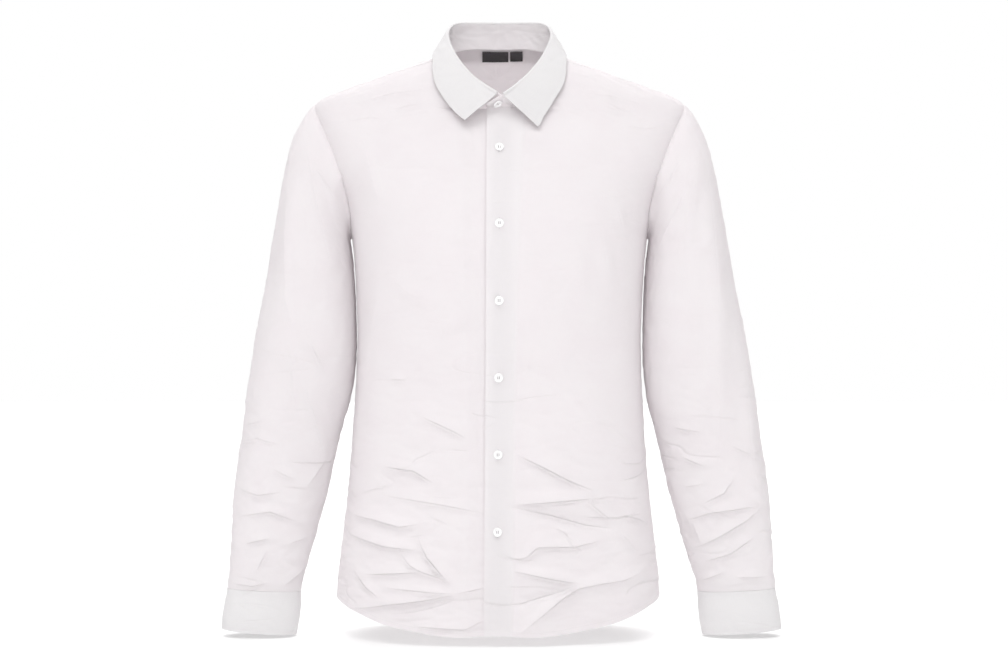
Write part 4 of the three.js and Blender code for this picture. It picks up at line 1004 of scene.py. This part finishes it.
def sleeve_grid(side):
    mirror = np.array([side, 1, 1])
    places = np.linspace(0, len(SLEEVE["y"]) - 1, 206)
    step = np.linspace(0, SLEEVE_STOPS[-1], 150, endpoint=False)
    turns = np.interp(step, SLEEVE_STOPS, SLEEVE_STOP_TURNS)
    arm_turn, arm_down = armhole_spot(np.interp(step, SLEEVE_STOPS, ARM_STOPS))
    seam, seam_normal = body_cloth(side * arm_turn, arm_down)
    on_form = form_point(side * arm_turn, arm_down)
    ahead = np.roll(on_form, -1, axis=0) - np.roll(on_form, 1, axis=0)
    away = unit(np.cross(ahead, seam_normal))
    outwards = np.sum(away * (np.array([side * 205, 0, -140]) - seam), axis=-1, keepdims=True)
    away = np.where(outwards < 0, -away, away)
    start = seam + away * 0.1 + seam_normal * 0.1
    points = ring_point(rings_of(SLEEVE, side, places), turns) * mirror
    fade = np.maximum(1 - places / SETTLED_RING, 0)[:, None, None] ** 2
    points = points + (start - points[0])[None] * fade
    normals = grid_normals(points, loop=True) * side
    x, _, z = np.moveaxis(points, -1, 0)
    in_front = np.sin(np.radians(turns))[None]
    front, back = ((LEFT_SLEEVE_FRONT, LEFT_SLEEVE_BACK) if side > 0
                   else (RIGHT_SLEEVE_FRONT, RIGHT_SLEEVE_BACK))
    rise = np.where(in_front > 0, crease_rise(front, x, z), crease_rise(back, x, z))
    rise = rise * np.clip(np.abs(in_front) / 0.4, 0, 1)
    marks = [np.where(in_front > 0, *pair)
             for pair in zip(crease_marks(front, x, z), crease_marks(back, x, z))]
    small = crumple(points, (36, 30, 21), 51 + side) + 0.45 * crumple(points, (19, 17, 11), 61 + side)
    small += 0.8 * smooth_step(-250, -100, z) * noise(points, (26, 24, 120), 81)
    rise = rise + small * sleeve_crumple_height(z)
    lengths = places / (len(SLEEVE["y"]) - 1)
    ends = (np.clip(places / 3, 0, 1) * np.clip((places[-1] - places) / 1.2, 0, 1))[:, None]
    rise = rise * ends
    puckers = noise(vector(step * 1.9, 0, 0), (1, 1, 1), 91 + side)[None]
    beyond_seam = (np.exp(-((lengths - 0.012) / 0.011) ** 2))[:, None]
    rise = rise + beyond_seam * (0.9 + 0.9 * puckers)
    return points + normals * rise[..., None], normals, marks


def sleeve(name, side, material):
    outer, normals, marks = sleeve_grid(side)
    piece = wall(name, outer, outer - normals * CLOTH, material, loop=True)
    for mark, values in zip(("side", "fold"), marks):
        attribute(piece, mark, values)
    return piece


CUFF_LAP_SHARE = CUFF_LAP_TURN * 1.2 / (360 + CUFF_LAP_TURN)


def cuff_grid(side, places, done):
    """The cuff's outer face: rows down its rings, columns round it, once and on over its own start."""
    turns = CUFF_LAP_MIDDLE + CUFF_LAP_TURN / 2 - done * (360 + CUFF_LAP_TURN)
    rings = rings_of(CUFF, side, places)
    points = ring_point(rings, turns)
    beside = ring_point(rings, turns + 1) - ring_point(rings, turns - 1)
    out = unit(np.cross(beside, np.array([0, 0, 1.0])))
    middle = vector(((rings["inner_x"] + rings["outer_x"]) / 2)[:, None], rings["y"][:, None],
                    points[..., 2])
    outwards = np.sum(out * (points - middle), axis=-1, keepdims=True)
    out = np.where(outwards < 0, -out, out)
    lift = LAP_DEPTH * smooth_step(1 - 2 * CUFF_LAP_SHARE, 1 - CUFF_LAP_SHARE, done)[None]
    mirror = np.array([side, 1, 1])
    points = points * mirror
    lift = lift + 0.4 * crumple(points, (34, 34, 22), 71 + side)
    return points + out * mirror * lift[..., None], out * mirror


def cuff(name, side, material):
    places = np.linspace(0, len(CUFF["y"]) - 1, 27)
    outer, out = cuff_grid(side, places, np.linspace(0, 1, 151))
    return wall(name, outer, outer - out * TRIM, material)


# ---------------------------------------------------------------- materials

BODY_COLOUR = (0.955, 0.930, 0.938, 1)
BODY_TINT = (0.940, 0.906, 0.919, 1)
BAND_COLOUR = (0.955, 0.936, 0.944, 1)
TRIM_COLOUR = (0.800, 0.785, 0.790, 1)
TRIM_TINT = (0.785, 0.768, 0.775, 1)
THROUGH_COLOUR = (0.975, 0.945, 0.956, 1)  # of the light that the thin cotton lets through


def add_node(tree, kind, links=(), **settings):
    """A node with settings by name and links as (input, output socket)."""
    node = tree.nodes.new(kind)
    for name, value in settings.items():
        if name in node.inputs:
            node.inputs[name].default_value = value
        else:
            setattr(node, name, value)
    for place, source in links:
        tree.links.new(source, node.inputs[place])
    return node


def maths(tree, operation, first, second=None):
    """The result of a sum of two values, each a socket or a plain number."""
    node = add_node(tree, "ShaderNodeMath", operation=operation)
    for socket, value in zip(node.inputs, (first, second)):
        if isinstance(value, (int, float)):
            socket.default_value = value
        elif value is not None:
            tree.links.new(value, socket)
    return node.outputs[0]


def mixed_colour(tree, share, first, second):
    """A colour between two, each a socket or a plain colour."""
    node = add_node(tree, "ShaderNodeMix", [("Factor", share)], data_type="RGBA")
    for socket, value in zip((node.inputs[6], node.inputs[7]), (first, second)):
        if isinstance(value, tuple):
            socket.default_value = value
        else:
            tree.links.new(value, socket)
    return node.outputs[2]


def map_range(tree, value, from_min, from_max, to_min, to_max, kind="LINEAR"):
    node = add_node(tree, "ShaderNodeMapRange", [("Value", value)], interpolation_type=kind)
    for name, number in (("From Min", from_min), ("From Max", from_max), ("To Min", to_min),
                         ("To Max", to_max)):
        node.inputs[name].default_value = number
    return node.outputs["Result"]


def new_material(name, colour, roughness):
    material = bpy.data.materials.new(name)
    material.use_nodes = True
    shader = material.node_tree.nodes["Principled BSDF"]
    shader.inputs["Base Color"].default_value = colour
    shader.inputs["Roughness"].default_value = roughness
    material.diffuse_color = colour
    return material, material.node_tree, shader


LINE_FIELDS = [
    # waves for each metre across and up, the turn of the lines in degrees, and an offset
    ((5, 5, 21), 6, 3.1),
    ((7, 7, 26), -20, 9.7),
]
LINE_WIDTH = 0.022
WORN_FROM = -0.30  # the fine creases grow from this height down to the next one, in metres
WORN_TO = -0.56


def crease_lines(tree, solid, worn):
    """Height of the thin sharp lines where the cloth was crushed: 1 on a line and 0 beside it."""
    total = None
    for scale, turn, offset in LINE_FIELDS:
        mapped = add_node(tree, "ShaderNodeMapping", [("Vector", solid)])
        mapped.inputs["Rotation"].default_value = (0, math.radians(turn), 0)
        mapped.inputs["Location"].default_value = (offset, 0, offset)
        mapped.inputs["Scale"].default_value = scale
        field = add_node(tree, "ShaderNodeTexNoise", [("Vector", mapped.outputs["Vector"])],
                         Scale=1.0, Detail=1.0)
        away = maths(tree, "ABSOLUTE", maths(tree, "SUBTRACT", field.outputs["Fac"], 0.5))
        line = map_range(tree, away, 0, LINE_WIDTH, 1, 0, "SMOOTHSTEP")
        patches = add_node(tree, "ShaderNodeTexNoise", [("Vector", mapped.outputs["Vector"])],
                           Scale=1.3, Detail=0.0)
        patchy = map_range(tree, patches.outputs["Fac"], 0.5, 0.62, 0, 1, "SMOOTHSTEP")
        kept = maths(tree, "MULTIPLY", line, patchy)
        total = kept if total is None else maths(tree, "MAXIMUM", total, kept)
    height = add_node(tree, "ShaderNodeSeparateXYZ", [("Vector", solid)]).outputs["Z"]
    amount = map_range(tree, height, WORN_TO, WORN_FROM, worn[1], worn[0], "SMOOTHSTEP")
    return maths(tree, "MULTIPLY", total, amount)


RIDGE_PLACE, GROOVE_PLACE = 0.1, -0.2  # beside a crease's line, as shares of FOLD_REACH
RIDGE_HEIGHT, GROOVE_HEIGHT = 0.6, -1.0
FOLD_LINE_WIDTH = 0.3
CREASE_LINE_DEPTH, FOLD_LINE_DEPTH = 0.0008, 0.0009  # in metres


def fold_lines(tree):
    """Height of the sharp lines of the listed creases: a ridge above a groove."""
    side = add_node(tree, "ShaderNodeAttribute", attribute_name="side").outputs["Fac"]
    fold = add_node(tree, "ShaderNodeAttribute", attribute_name="fold").outputs["Fac"]
    lines = []
    for place, height in ((RIDGE_PLACE, RIDGE_HEIGHT), (GROOVE_PLACE, GROOVE_HEIGHT)):
        away = maths(tree, "ABSOLUTE", maths(tree, "SUBTRACT", side, place))
        lines.append(map_range(tree, away, 0, FOLD_LINE_WIDTH, height, 0, "SMOOTHSTEP"))
    return maths(tree, "MULTIPLY", maths(tree, "ADD", *lines), fold)


def cloth_material(name, colour, tint, thread, crinkle, worn, through_share, band=None):
    """Plain woven cotton: crossing threads of uneven thickness and a fine crinkle."""
    material, tree, shader = new_material(name, colour, 0.86)
    shader.inputs["Sheen Weight"].default_value = 0.12
    shader.inputs["Sheen Roughness"].default_value = 0.6
    shader.inputs["Specular IOR Level"].default_value = 0.22
    place = add_node(tree, "ShaderNodeUVMap", uv_map="weave").outputs["UV"]
    solid = add_node(tree, "ShaderNodeTexCoord").outputs["Object"]
    threads = []
    for scale in ((thread, thread / 22, 1), (thread / 22, thread, 1)):
        mapped = add_node(tree, "ShaderNodeMapping", [("Vector", place)])
        mapped.inputs["Scale"].default_value = scale
        threads.append(add_node(tree, "ShaderNodeTexNoise", [("Vector", mapped.outputs["Vector"])],
                                Scale=1.0, Detail=2.0).outputs["Fac"])
    woven = maths(tree, "ADD", *threads)
    cloudy = add_node(tree, "ShaderNodeTexNoise", [("Vector", solid)], Scale=26.0, Detail=4.0)
    pink = map_range(tree, cloudy.outputs["Fac"], 0.35, 0.75, 0, 1)
    shown = mixed_colour(tree, pink, colour, tint)
    if band is not None:
        ply = add_node(tree, "ShaderNodeAttribute", attribute_name="ply").outputs["Fac"]
        shown = mixed_colour(tree, ply, shown, band)
    slub = map_range(tree, woven, 0.7, 1.3, 0.965, 1.0)
    toned = add_node(tree, "ShaderNodeVectorMath", operation="SCALE")
    tree.links.new(shown, toned.inputs[0])
    tree.links.new(slub, toned.inputs["Scale"])
    tree.links.new(toned.outputs["Vector"], shader.inputs["Base Color"])
    lines = crease_lines(tree, solid, worn)
    wrinkles = add_node(tree, "ShaderNodeTexNoise", [("Vector", solid)], Scale=75.0, Detail=4.0,
                        Roughness=0.5)
    pressed = add_node(tree, "ShaderNodeBump", [("Height", lines)], Strength=1.0,
                       Distance=CREASE_LINE_DEPTH, invert=True)
    folded = add_node(tree, "ShaderNodeBump", [("Height", fold_lines(tree)),
                                              ("Normal", pressed.outputs["Normal"])],
                      Strength=1.0, Distance=FOLD_LINE_DEPTH)
    first = add_node(tree, "ShaderNodeBump", [("Height", wrinkles.outputs["Fac"]),
                                             ("Normal", folded.outputs["Normal"])],
                     Strength=crinkle, Distance=0.003)
    second = add_node(tree, "ShaderNodeBump", [("Height", woven),
                                              ("Normal", first.outputs["Normal"])],
                      Strength=0.25, Distance=0.0003)
    tree.links.new(second.outputs["Normal"], shader.inputs["Normal"])
    through = add_node(tree, "ShaderNodeBsdfTranslucent", Color=THROUGH_COLOUR)
    both = add_node(tree, "ShaderNodeMixShader", [(1, shader.outputs["BSDF"]),
                                                  (2, through.outputs["BSDF"])])
    both.inputs[0].default_value = through_share
    tree.links.new(both.outputs[0], tree.nodes["Material Output"].inputs["Surface"])
    return material


def label_material():
    """Black satin-woven tape with fine ribs."""
    material, tree, shader = new_material("label_tape", (0.024, 0.022, 0.024, 1), 0.62)
    shader.inputs["Sheen Weight"].default_value = 0.25
    place = add_node(tree, "ShaderNodeUVMap", uv_map="weave").outputs["UV"]
    ribs = add_node(tree, "ShaderNodeTexWave", [("Vector", place)], bands_direction="Y", Scale=420.0,
                    Distortion=0.6)
    black = mixed_colour(tree, ribs.outputs["Fac"], (0.017, 0.016, 0.017, 1), (0.034, 0.031, 0.034, 1))
    tree.links.new(black, shader.inputs["Base Color"])
    bump = add_node(tree, "ShaderNodeBump", [("Height", ribs.outputs["Fac"])], Strength=0.4,
                    Distance=0.0002)
    tree.links.new(bump.outputs["Normal"], shader.inputs["Normal"])
    return material


def button_material():
    """Pearly resin with faint clouds."""
    material, tree, shader = new_material("button_resin", (0.96, 0.95, 0.955, 1), 0.28)
    shader.inputs["Coat Weight"].default_value = 0.3
    shader.inputs["Coat Roughness"].default_value = 0.15
    solid = add_node(tree, "ShaderNodeTexCoord").outputs["Object"]
    clouds = add_node(tree, "ShaderNodeTexNoise", [("Vector", solid)], Scale=420.0, Detail=3.0,
                      Distortion=1.2)
    pearl = mixed_colour(tree, clouds.outputs["Fac"], (0.98, 0.972, 0.975, 1), (0.92, 0.91, 0.915, 1))
    tree.links.new(pearl, shader.inputs["Base Color"])
    return material


def thread_material(name, colour):
    material, tree, shader = new_material(name, colour, 0.7)
    shader.inputs["Sheen Weight"].default_value = 0.3
    solid = add_node(tree, "ShaderNodeTexCoord").outputs["Object"]
    twist = add_node(tree, "ShaderNodeTexNoise", [("Vector", solid)], Scale=1500.0)
    darker = (*(value * 0.85 for value in colour[:3]), 1)
    shade = mixed_colour(tree, twist.outputs["Fac"], colour, darker)
    tree.links.new(shade, shader.inputs["Base Color"])
    return material


THREAD_PITCH = 2600  # threads for each metre, as the noise's scale
BODY_WORN = (0.22, 1.0)  # the fine creases' share high up and low down
TRIM_WORN = (0.12, 0.3)
BODY_CRINKLE, TRIM_CRINKLE = 0.10, 0.08
BODY_THROUGH, TRIM_THROUGH = 0.36, 0.08  # the share of the light that goes through the cloth
body_cotton = cloth_material("body_cotton", BODY_COLOUR, BODY_TINT, THREAD_PITCH, BODY_CRINKLE,
                             BODY_WORN, BODY_THROUGH, BAND_COLOUR)
trim_cotton = cloth_material("trim_cotton", TRIM_COLOUR, TRIM_TINT, THREAD_PITCH, TRIM_CRINKLE,
                             TRIM_WORN, TRIM_THROUGH)
tape = label_material()
resin = button_material()
white_thread = thread_material("white_thread", (0.86, 0.835, 0.85, 1))
grey_thread = thread_material("grey_thread", (0.55, 0.53, 0.535, 1))

# ---------------------------------------------------------------- stitches

STITCH_PITCH = 2.6
STITCH_LENGTH = 2.0
STITCH_RADIUS = 0.24
THREAD_LIFT = 0.05  # of a row of stitches off flat cloth
RAISED_LIFT = 0.35  # and off an edge that stands out
ARMHOLE_STITCH_TURN = 5.5 / 190  # 5.5 mm inside the seam, where the torso is about 190 mm wide
YOKE_STITCH_INSET = 3.0
SHOULDER_STITCH_INSET = 2.6
CUFF_STITCH_PLACES = (0.28, 2.72)  # the rows of the cuff's table that its two lines lie by
COLLAR_STITCH_COLUMN = -6  # columns in from the fall's edge
COLLAR_STITCH_ENDS = 4  # turns in from the fall's ends
SPINDLE = [(0, 2, 4), (0, 4, 3), (0, 3, 5), (0, 5, 2), (1, 4, 2), (1, 3, 4), (1, 5, 3), (1, 2, 5)]


def stitch_parts(line, normals):
    """One small spindle for each stitch along a line on a face."""
    lengths = np.append(0, np.cumsum(np.linalg.norm(np.diff(line, axis=0), axis=-1)))
    places = np.arange(STITCH_PITCH / 2, lengths[-1] - STITCH_LENGTH / 2, STITCH_PITCH)

    def at(values, where):
        return np.stack([np.interp(where, lengths, values[:, axis]) for axis in range(3)], axis=-1)

    middle, out = at(line, places), unit(at(normals, places))
    ahead = unit(at(line, places + 0.5) - at(line, places - 0.5))
    across = np.cross(ahead, out)
    half, radius = STITCH_LENGTH / 2, STITCH_RADIUS
    parts = []
    for m, o, a, c in zip(middle, out, ahead, across):
        m = m + o * radius * 0.5
        tips = [m - a * half, m + a * half, m - c * radius, m + c * radius,
                m + o * radius, m - o * radius]
        parts.append((tips, SPINDLE))
    return parts


def stitched(name, lines):
    parts = [part for line, normals in lines for part in stitch_parts(line, normals)]
    piece = joined(name, parts, white_thread)
    return piece


def body_line(turn, down, lift=0.0):
    point, normal = body_cloth(turn, down)
    return point + normal * lift, normal


# ---------------------------------------------------------------- buttons


def revolve(profile, sides):
    """A closed body round Z from (radius, height) points that start and end on the axis."""
    points = [(0, 0, profile[0][1])]
    angles = np.linspace(0, 2 * np.pi, sides, endpoint=False)
    for radius, height in profile[1:-1]:
        points += [(radius * np.cos(a), radius * np.sin(a), height) for a in angles]
    points.append((0, 0, profile[-1][1]))
    rings = len(profile) - 2
    faces = [(0, 1 + (i + 1) % sides, 1 + i) for i in range(sides)]
    for ring in range(rings - 1):
        low, high = 1 + ring * sides, 1 + (ring + 1) * sides
        faces += [(low + i, low + (i + 1) % sides, high + (i + 1) % sides, high + i) for i in range(sides)]
    top = 1 + (rings - 1) * sides
    faces += [(len(points) - 1, top + i, top + (i + 1) % sides) for i in range(sides)]
    return np.array(points, float), faces


HOLE_SPREAD = 1.5
HOLE_RADIUS = 0.75


def button_shape():
    """A four-hole button with a rounded rim and a dished middle, its underside on z = 0."""
    rim = [(BUTTON_RADIUS - 0.85 + 0.85 * math.sin(a), 1.45 - 0.85 * math.cos(a))
           for a in np.linspace(0.25 * math.pi, 1.32 * math.pi, 9)]
    profile = [(0, 0), (BUTTON_RADIUS - 1.6, 0), (BUTTON_RADIUS - 0.9, 0.25), *rim,
               (3.5, 1.42), (3.0, 1.36), (0, 1.36)]
    mesh = bpy.data.meshes.new("button_blank")
    points, faces = revolve(profile, 48)
    mesh.from_pydata(points.tolist(), [], faces)
    blank = in_scene("button_blank", mesh)
    pin, faces = revolve([(0, -1), (HOLE_RADIUS, -1), (HOLE_RADIUS, 4), (0, 4)], 14)
    angles = [math.radians(angle) for angle in (45, 135, 225, 315)]
    pins = [pin + HOLE_SPREAD * np.array([math.cos(a), math.sin(a), 0]) for a in angles]
    drill_mesh = bpy.data.meshes.new("button_drill")
    drill_mesh.from_pydata(np.concatenate(pins).tolist(), [], [
        [k * len(pin) + i for i in face] for k in range(len(pins)) for face in faces])
    drill = in_scene("button_drill", drill_mesh)
    cut = blank.modifiers.new("holes", "BOOLEAN")
    cut.operation = "DIFFERENCE"
    cut.solver = "EXACT"
    cut.object = drill
    result = blank.evaluated_get(bpy.context.evaluated_depsgraph_get()).to_mesh()
    points = np.array([vertex.co[:] for vertex in result.vertices])
    faces = [list(polygon.vertices) for polygon in result.polygons]
    bpy.data.objects.remove(blank)
    bpy.data.objects.remove(drill)
    return points, faces


def placed(points, place, normal):
    """Turns a small part so that its +Z points along a normal, and moves it to a place."""
    normal = unit(np.asarray(normal, float))
    across = unit(np.cross(np.array([0, 0, 1.0]), normal))
    upright = np.cross(normal, across)
    return np.asarray(points) @ np.array([across, upright, normal]) + place


def thread_bars():
    """The two short bars of thread in a button's holes."""
    spread = HOLE_SPREAD * math.sqrt(0.5)
    bars = []
    for x in (-spread, spread):
        reach, radius = spread + 0.35, 0.42
        points = [(x + dx * radius, y, 1.42 + dz * radius)
                  for y in (-reach, -0.4 * reach, 0.4 * reach, reach)
                  for dx, dz in ((1, 0), (0, 1), (-1, 0), (0, -1))]
        faces = [(3, 2, 1, 0), (12, 13, 14, 15)]
        for ring in range(3):
            faces += [(ring * 4 + i, ring * 4 + (i + 1) % 4, ring * 4 + 4 + (i + 1) % 4, ring * 4 + 4 + i)
                      for i in range(4)]
        bars.append((np.array(points), faces))
    return bars


def buttonhole_parts(centre, normal):
    """The satin-stitched ring of an upright buttonhole, which shows just past its button."""
    half_length, half_width = 6.3, 0.9
    reach, width, height = 0.75, 0.25, 0.22  # half of one stitch's length, width and thickness
    parts = []
    for a in np.linspace(0, 2 * np.pi, 76, endpoint=False):
        sideways = np.array([math.copysign(reach, math.cos(a)), 0, 0])
        middle = np.array([half_width * np.cos(a), half_length * np.sin(a), 0.1])
        tips = np.array([middle - sideways, middle + sideways, middle - (0, width, 0),
                         middle + (0, width, 0), middle + (0, 0, height), middle - (0, 0, height)])
        parts.append((placed(tips, centre, normal), SPINDLE))
    return parts


# ---------------------------------------------------------------- the shirt's pieces


def finish_cloth(piece, node):
    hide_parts(node)


def make_body():
    for name, side in (("left", 1), ("right", -1)):
        finish_cloth(front_panel(f"cloth_front_{name}", side, body_cotton), f"front_{name}")
        finish_cloth(sleeve(f"cloth_sleeve_{name}", side, body_cotton), f"sleeve_{name}")
        finish_cloth(cuff(f"cloth_cuff_{name}", side, trim_cotton), f"cuff_{name}")
    finish_cloth(back_panel("cloth_back", body_cotton), "back")
    finish_cloth(yoke_panel("cloth_yoke", body_cotton), "yoke")
    finish_cloth(collar_stand("cloth_collar_stand", body_cotton), "collar_stand")
    finish_cloth(collar_fall("cloth_collar_fall", trim_cotton), "collar_fall")


def make_labels():
    start = neck_spot(0.0)[1] + LABEL_DROP
    for name, (from_x, to_x, length) in LABELS.items():
        x = np.linspace(from_x, to_x, 18)[None, :]
        down = start + np.linspace(0, 1, 12)[:, None] * length
        turn = np.pi - turn_of_x(x + 0 * down, down + 0 * x)
        point, normal = body_cloth(turn, down + 0 * x)
        ripple = 0.35 * noise(point, (12, 12, 9), 95)
        face = point - normal * (SOLID_WALL + LAY_GAP + ripple[..., None])
        piece = wall(f"tape_{name}", face, face - normal * 0.45, tape)
        finish_cloth(piece, name)


def make_buttons():
    points, faces = button_shape()
    bars = thread_bars()
    seats = {}
    for i in range(FRONT_BUTTONS):
        spot = spot_at(0.0, TOP_BUTTON_Z - i * BUTTON_PITCH)
        seats[f"button_{i + 1}"] = body_line(*spot, BAND_RISE)
    foot, top, _, out = stand_section(np.array([COLLAR_BUTTON_TURN], float))
    seats["button_collar"] = (mix(foot, top, 0.5) + out * STAND_BELLY)[0], out[0]
    for name, side in (("left", 1), ("right", -1)):
        done = 1 - CUFF_LAP_TURN / 2 / (360 + CUFF_LAP_TURN)
        point, out = cuff_grid(side, np.array([1.45]), np.array([done]))
        seats[f"button_cuff_{name}"] = point[0, 0], out[0, 0]
    threads, holes = [], []
    for node, (seat, normal) in seats.items():
        place = seat + normal * LAY_GAP
        piece = joined(f"resin_{node}", [(placed(points, place, normal), faces)], resin)
        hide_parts(node)
        threads += [(placed(bar, place, normal), bar_faces) for bar, bar_faces in bars]
        if node[-1].isdigit():
            holes += buttonhole_parts(seat, normal)
    joined("button_threads", threads, grey_thread)
    joined("buttonholes", holes, white_thread)


def make_stitches():
    """Rows of top stitching along the seams and edges."""
    lines = []
    for start, end in ((-SIDE + 0.02, SIDE - 0.02), (SIDE + 0.02, 3 * SIDE - 0.02)):
        turn = np.linspace(start, end, 260)
        wrapped = np.where(turn > np.pi, 2 * np.pi - turn, turn)
        lines.append(body_line(turn, hem_spot(wrapped)[1] - HEM_FOLD, 0.3))
    stitched("stitches_hem", lines)

    t = np.linspace(0.06, 0.985, 200)
    turn, down = yoke_back_seam(t)
    seams = [body_line(turn, down - YOKE_STITCH_INSET, RAISED_LIFT)]
    for side in (1, -1):
        turn, down = shoulder_seam(np.linspace(0.12, 0.97, 90))
        point, normal = body_line(side * turn, down, RAISED_LIFT)
        seams.append((point + np.array([0, SHOULDER_STITCH_INSET, 0]), normal))
    stitched("stitches_yoke", seams)

    armholes = []
    for side in (1, -1):
        turn, down = armhole_spot(np.linspace(UNDERARM_STOP - 0.4, FRONT_STOP + 0.2, 120))
        armholes.append(body_line(side * (turn - ARMHOLE_STITCH_TURN), down, THREAD_LIFT))
    stitched("stitches_armholes", armholes)

    _, fall = fall_grid()
    normals = grid_normals(fall)
    normals = normals * np.sign(normals[150, -1, 1])
    column, end, roll = COLLAR_STITCH_COLUMN, COLLAR_STITCH_ENDS, len(FALL_ROLL["out"])
    lifted = fall + normals * THREAD_LIFT
    around = (lifted[end:-end, column], normals[end:-end, column])
    ends = [(lifted[row, roll:column], normals[row, roll:column]) for row in (end, -end - 1)]
    stitched("stitches_collar", [around, *ends])

    rows = []
    done = np.linspace(0.01, 0.99, 150)
    for side in (1, -1):
        for place in CUFF_STITCH_PLACES:
            point, out = cuff_grid(side, np.array([place]), done)
            rows.append((point[0] + out[0] * THREAD_LIFT, out[0]))
    stitched("stitches_cuffs", rows)


make_body()
make_labels()
make_buttons()
make_stitches()

# ---------------------------------------------------------------- stage, light and camera

FLOOR_Z = -0.7165  # just under the hem, in metres as all of this section
FLOOR_HALF = 9.0
FLOOR_GLOW = 0.44
CAMERA_PLACE = (0.0056, -2.6, -0.345)
CAMERA_LENS = 74.29
CAMERA_SENSOR = 36


def make_stage():
    corners = [(x * FLOOR_HALF, y * FLOOR_HALF, FLOOR_Z) for x, y in ((-1, -1), (1, -1), (1, 1), (-1, 1))]
    mesh = bpy.data.meshes.new("floor")
    mesh.from_pydata(corners, [], [(0, 1, 2, 3)])
    floor = in_scene("floor", mesh)
    material, tree, shader = new_material("floor_paper", (0.56, 0.56, 0.56, 1), 0.95)
    shader.inputs["Emission Color"].default_value = (1, 1, 1, 1)
    shader.inputs["Emission Strength"].default_value = FLOOR_GLOW
    grain = add_node(tree, "ShaderNodeTexNoise", Scale=180.0)
    tone = mixed_colour(tree, grain.outputs["Fac"], (0.55, 0.55, 0.55, 1), (0.57, 0.57, 0.57, 1))
    tree.links.new(tone, shader.inputs["Base Color"])
    mesh.materials.append(material)


def soft_sun(name, azimuth, elevation, strength, softness):
    """A wide even light; azimuth 0 shines from the front and 90 from the shirt's left, in degrees."""
    light = bpy.data.lights.new(name, "SUN")
    light.angle = math.radians(softness)
    light.energy = strength
    lamp = in_scene(name, light)
    lamp.rotation_euler = (math.radians(90 - elevation), 0, math.radians(azimuth))


def make_lights():
    """Two soft keys from the front and above, a level fill, a light from behind and a pale sky."""
    soft_sun("key", azimuth=-34, elevation=60, strength=1.04, softness=40)
    soft_sun("second key", azimuth=30, elevation=60, strength=0.66, softness=40)
    soft_sun("fill", azimuth=0, elevation=4, strength=1.12, softness=60)
    soft_sun("rear", azimuth=180, elevation=48, strength=2.7, softness=60)
    world = bpy.data.worlds.new("studio")
    bpy.context.scene.world = world
    world.use_nodes = True
    tree = world.node_tree
    sky = tree.nodes["Background"]
    sky.inputs["Color"].default_value = (1, 1, 1, 1)
    sky.inputs["Strength"].default_value = 0.30
    seen = add_node(tree, "ShaderNodeBackground", Color=(1, 1, 1, 1), Strength=1.0)
    path = add_node(tree, "ShaderNodeLightPath")
    both = tree.nodes.new("ShaderNodeMixShader")
    tree.links.new(path.outputs["Is Camera Ray"], both.inputs[0])
    tree.links.new(sky.outputs[0], both.inputs[1])
    tree.links.new(seen.outputs[0], both.inputs[2])
    tree.links.new(both.outputs[0], tree.nodes["World Output"].inputs["Surface"])


def make_camera():
    data = bpy.data.cameras.new("camera")
    data.lens = CAMERA_LENS
    data.sensor_width = CAMERA_SENSOR
    camera = in_scene("camera", data)
    camera.location = CAMERA_PLACE
    camera.rotation_euler = (math.pi / 2, 0, 0)
    bpy.context.scene.camera = camera


make_stage()
make_lights()
make_camera()
bpy.context.scene.view_settings.view_transform = "Standard"
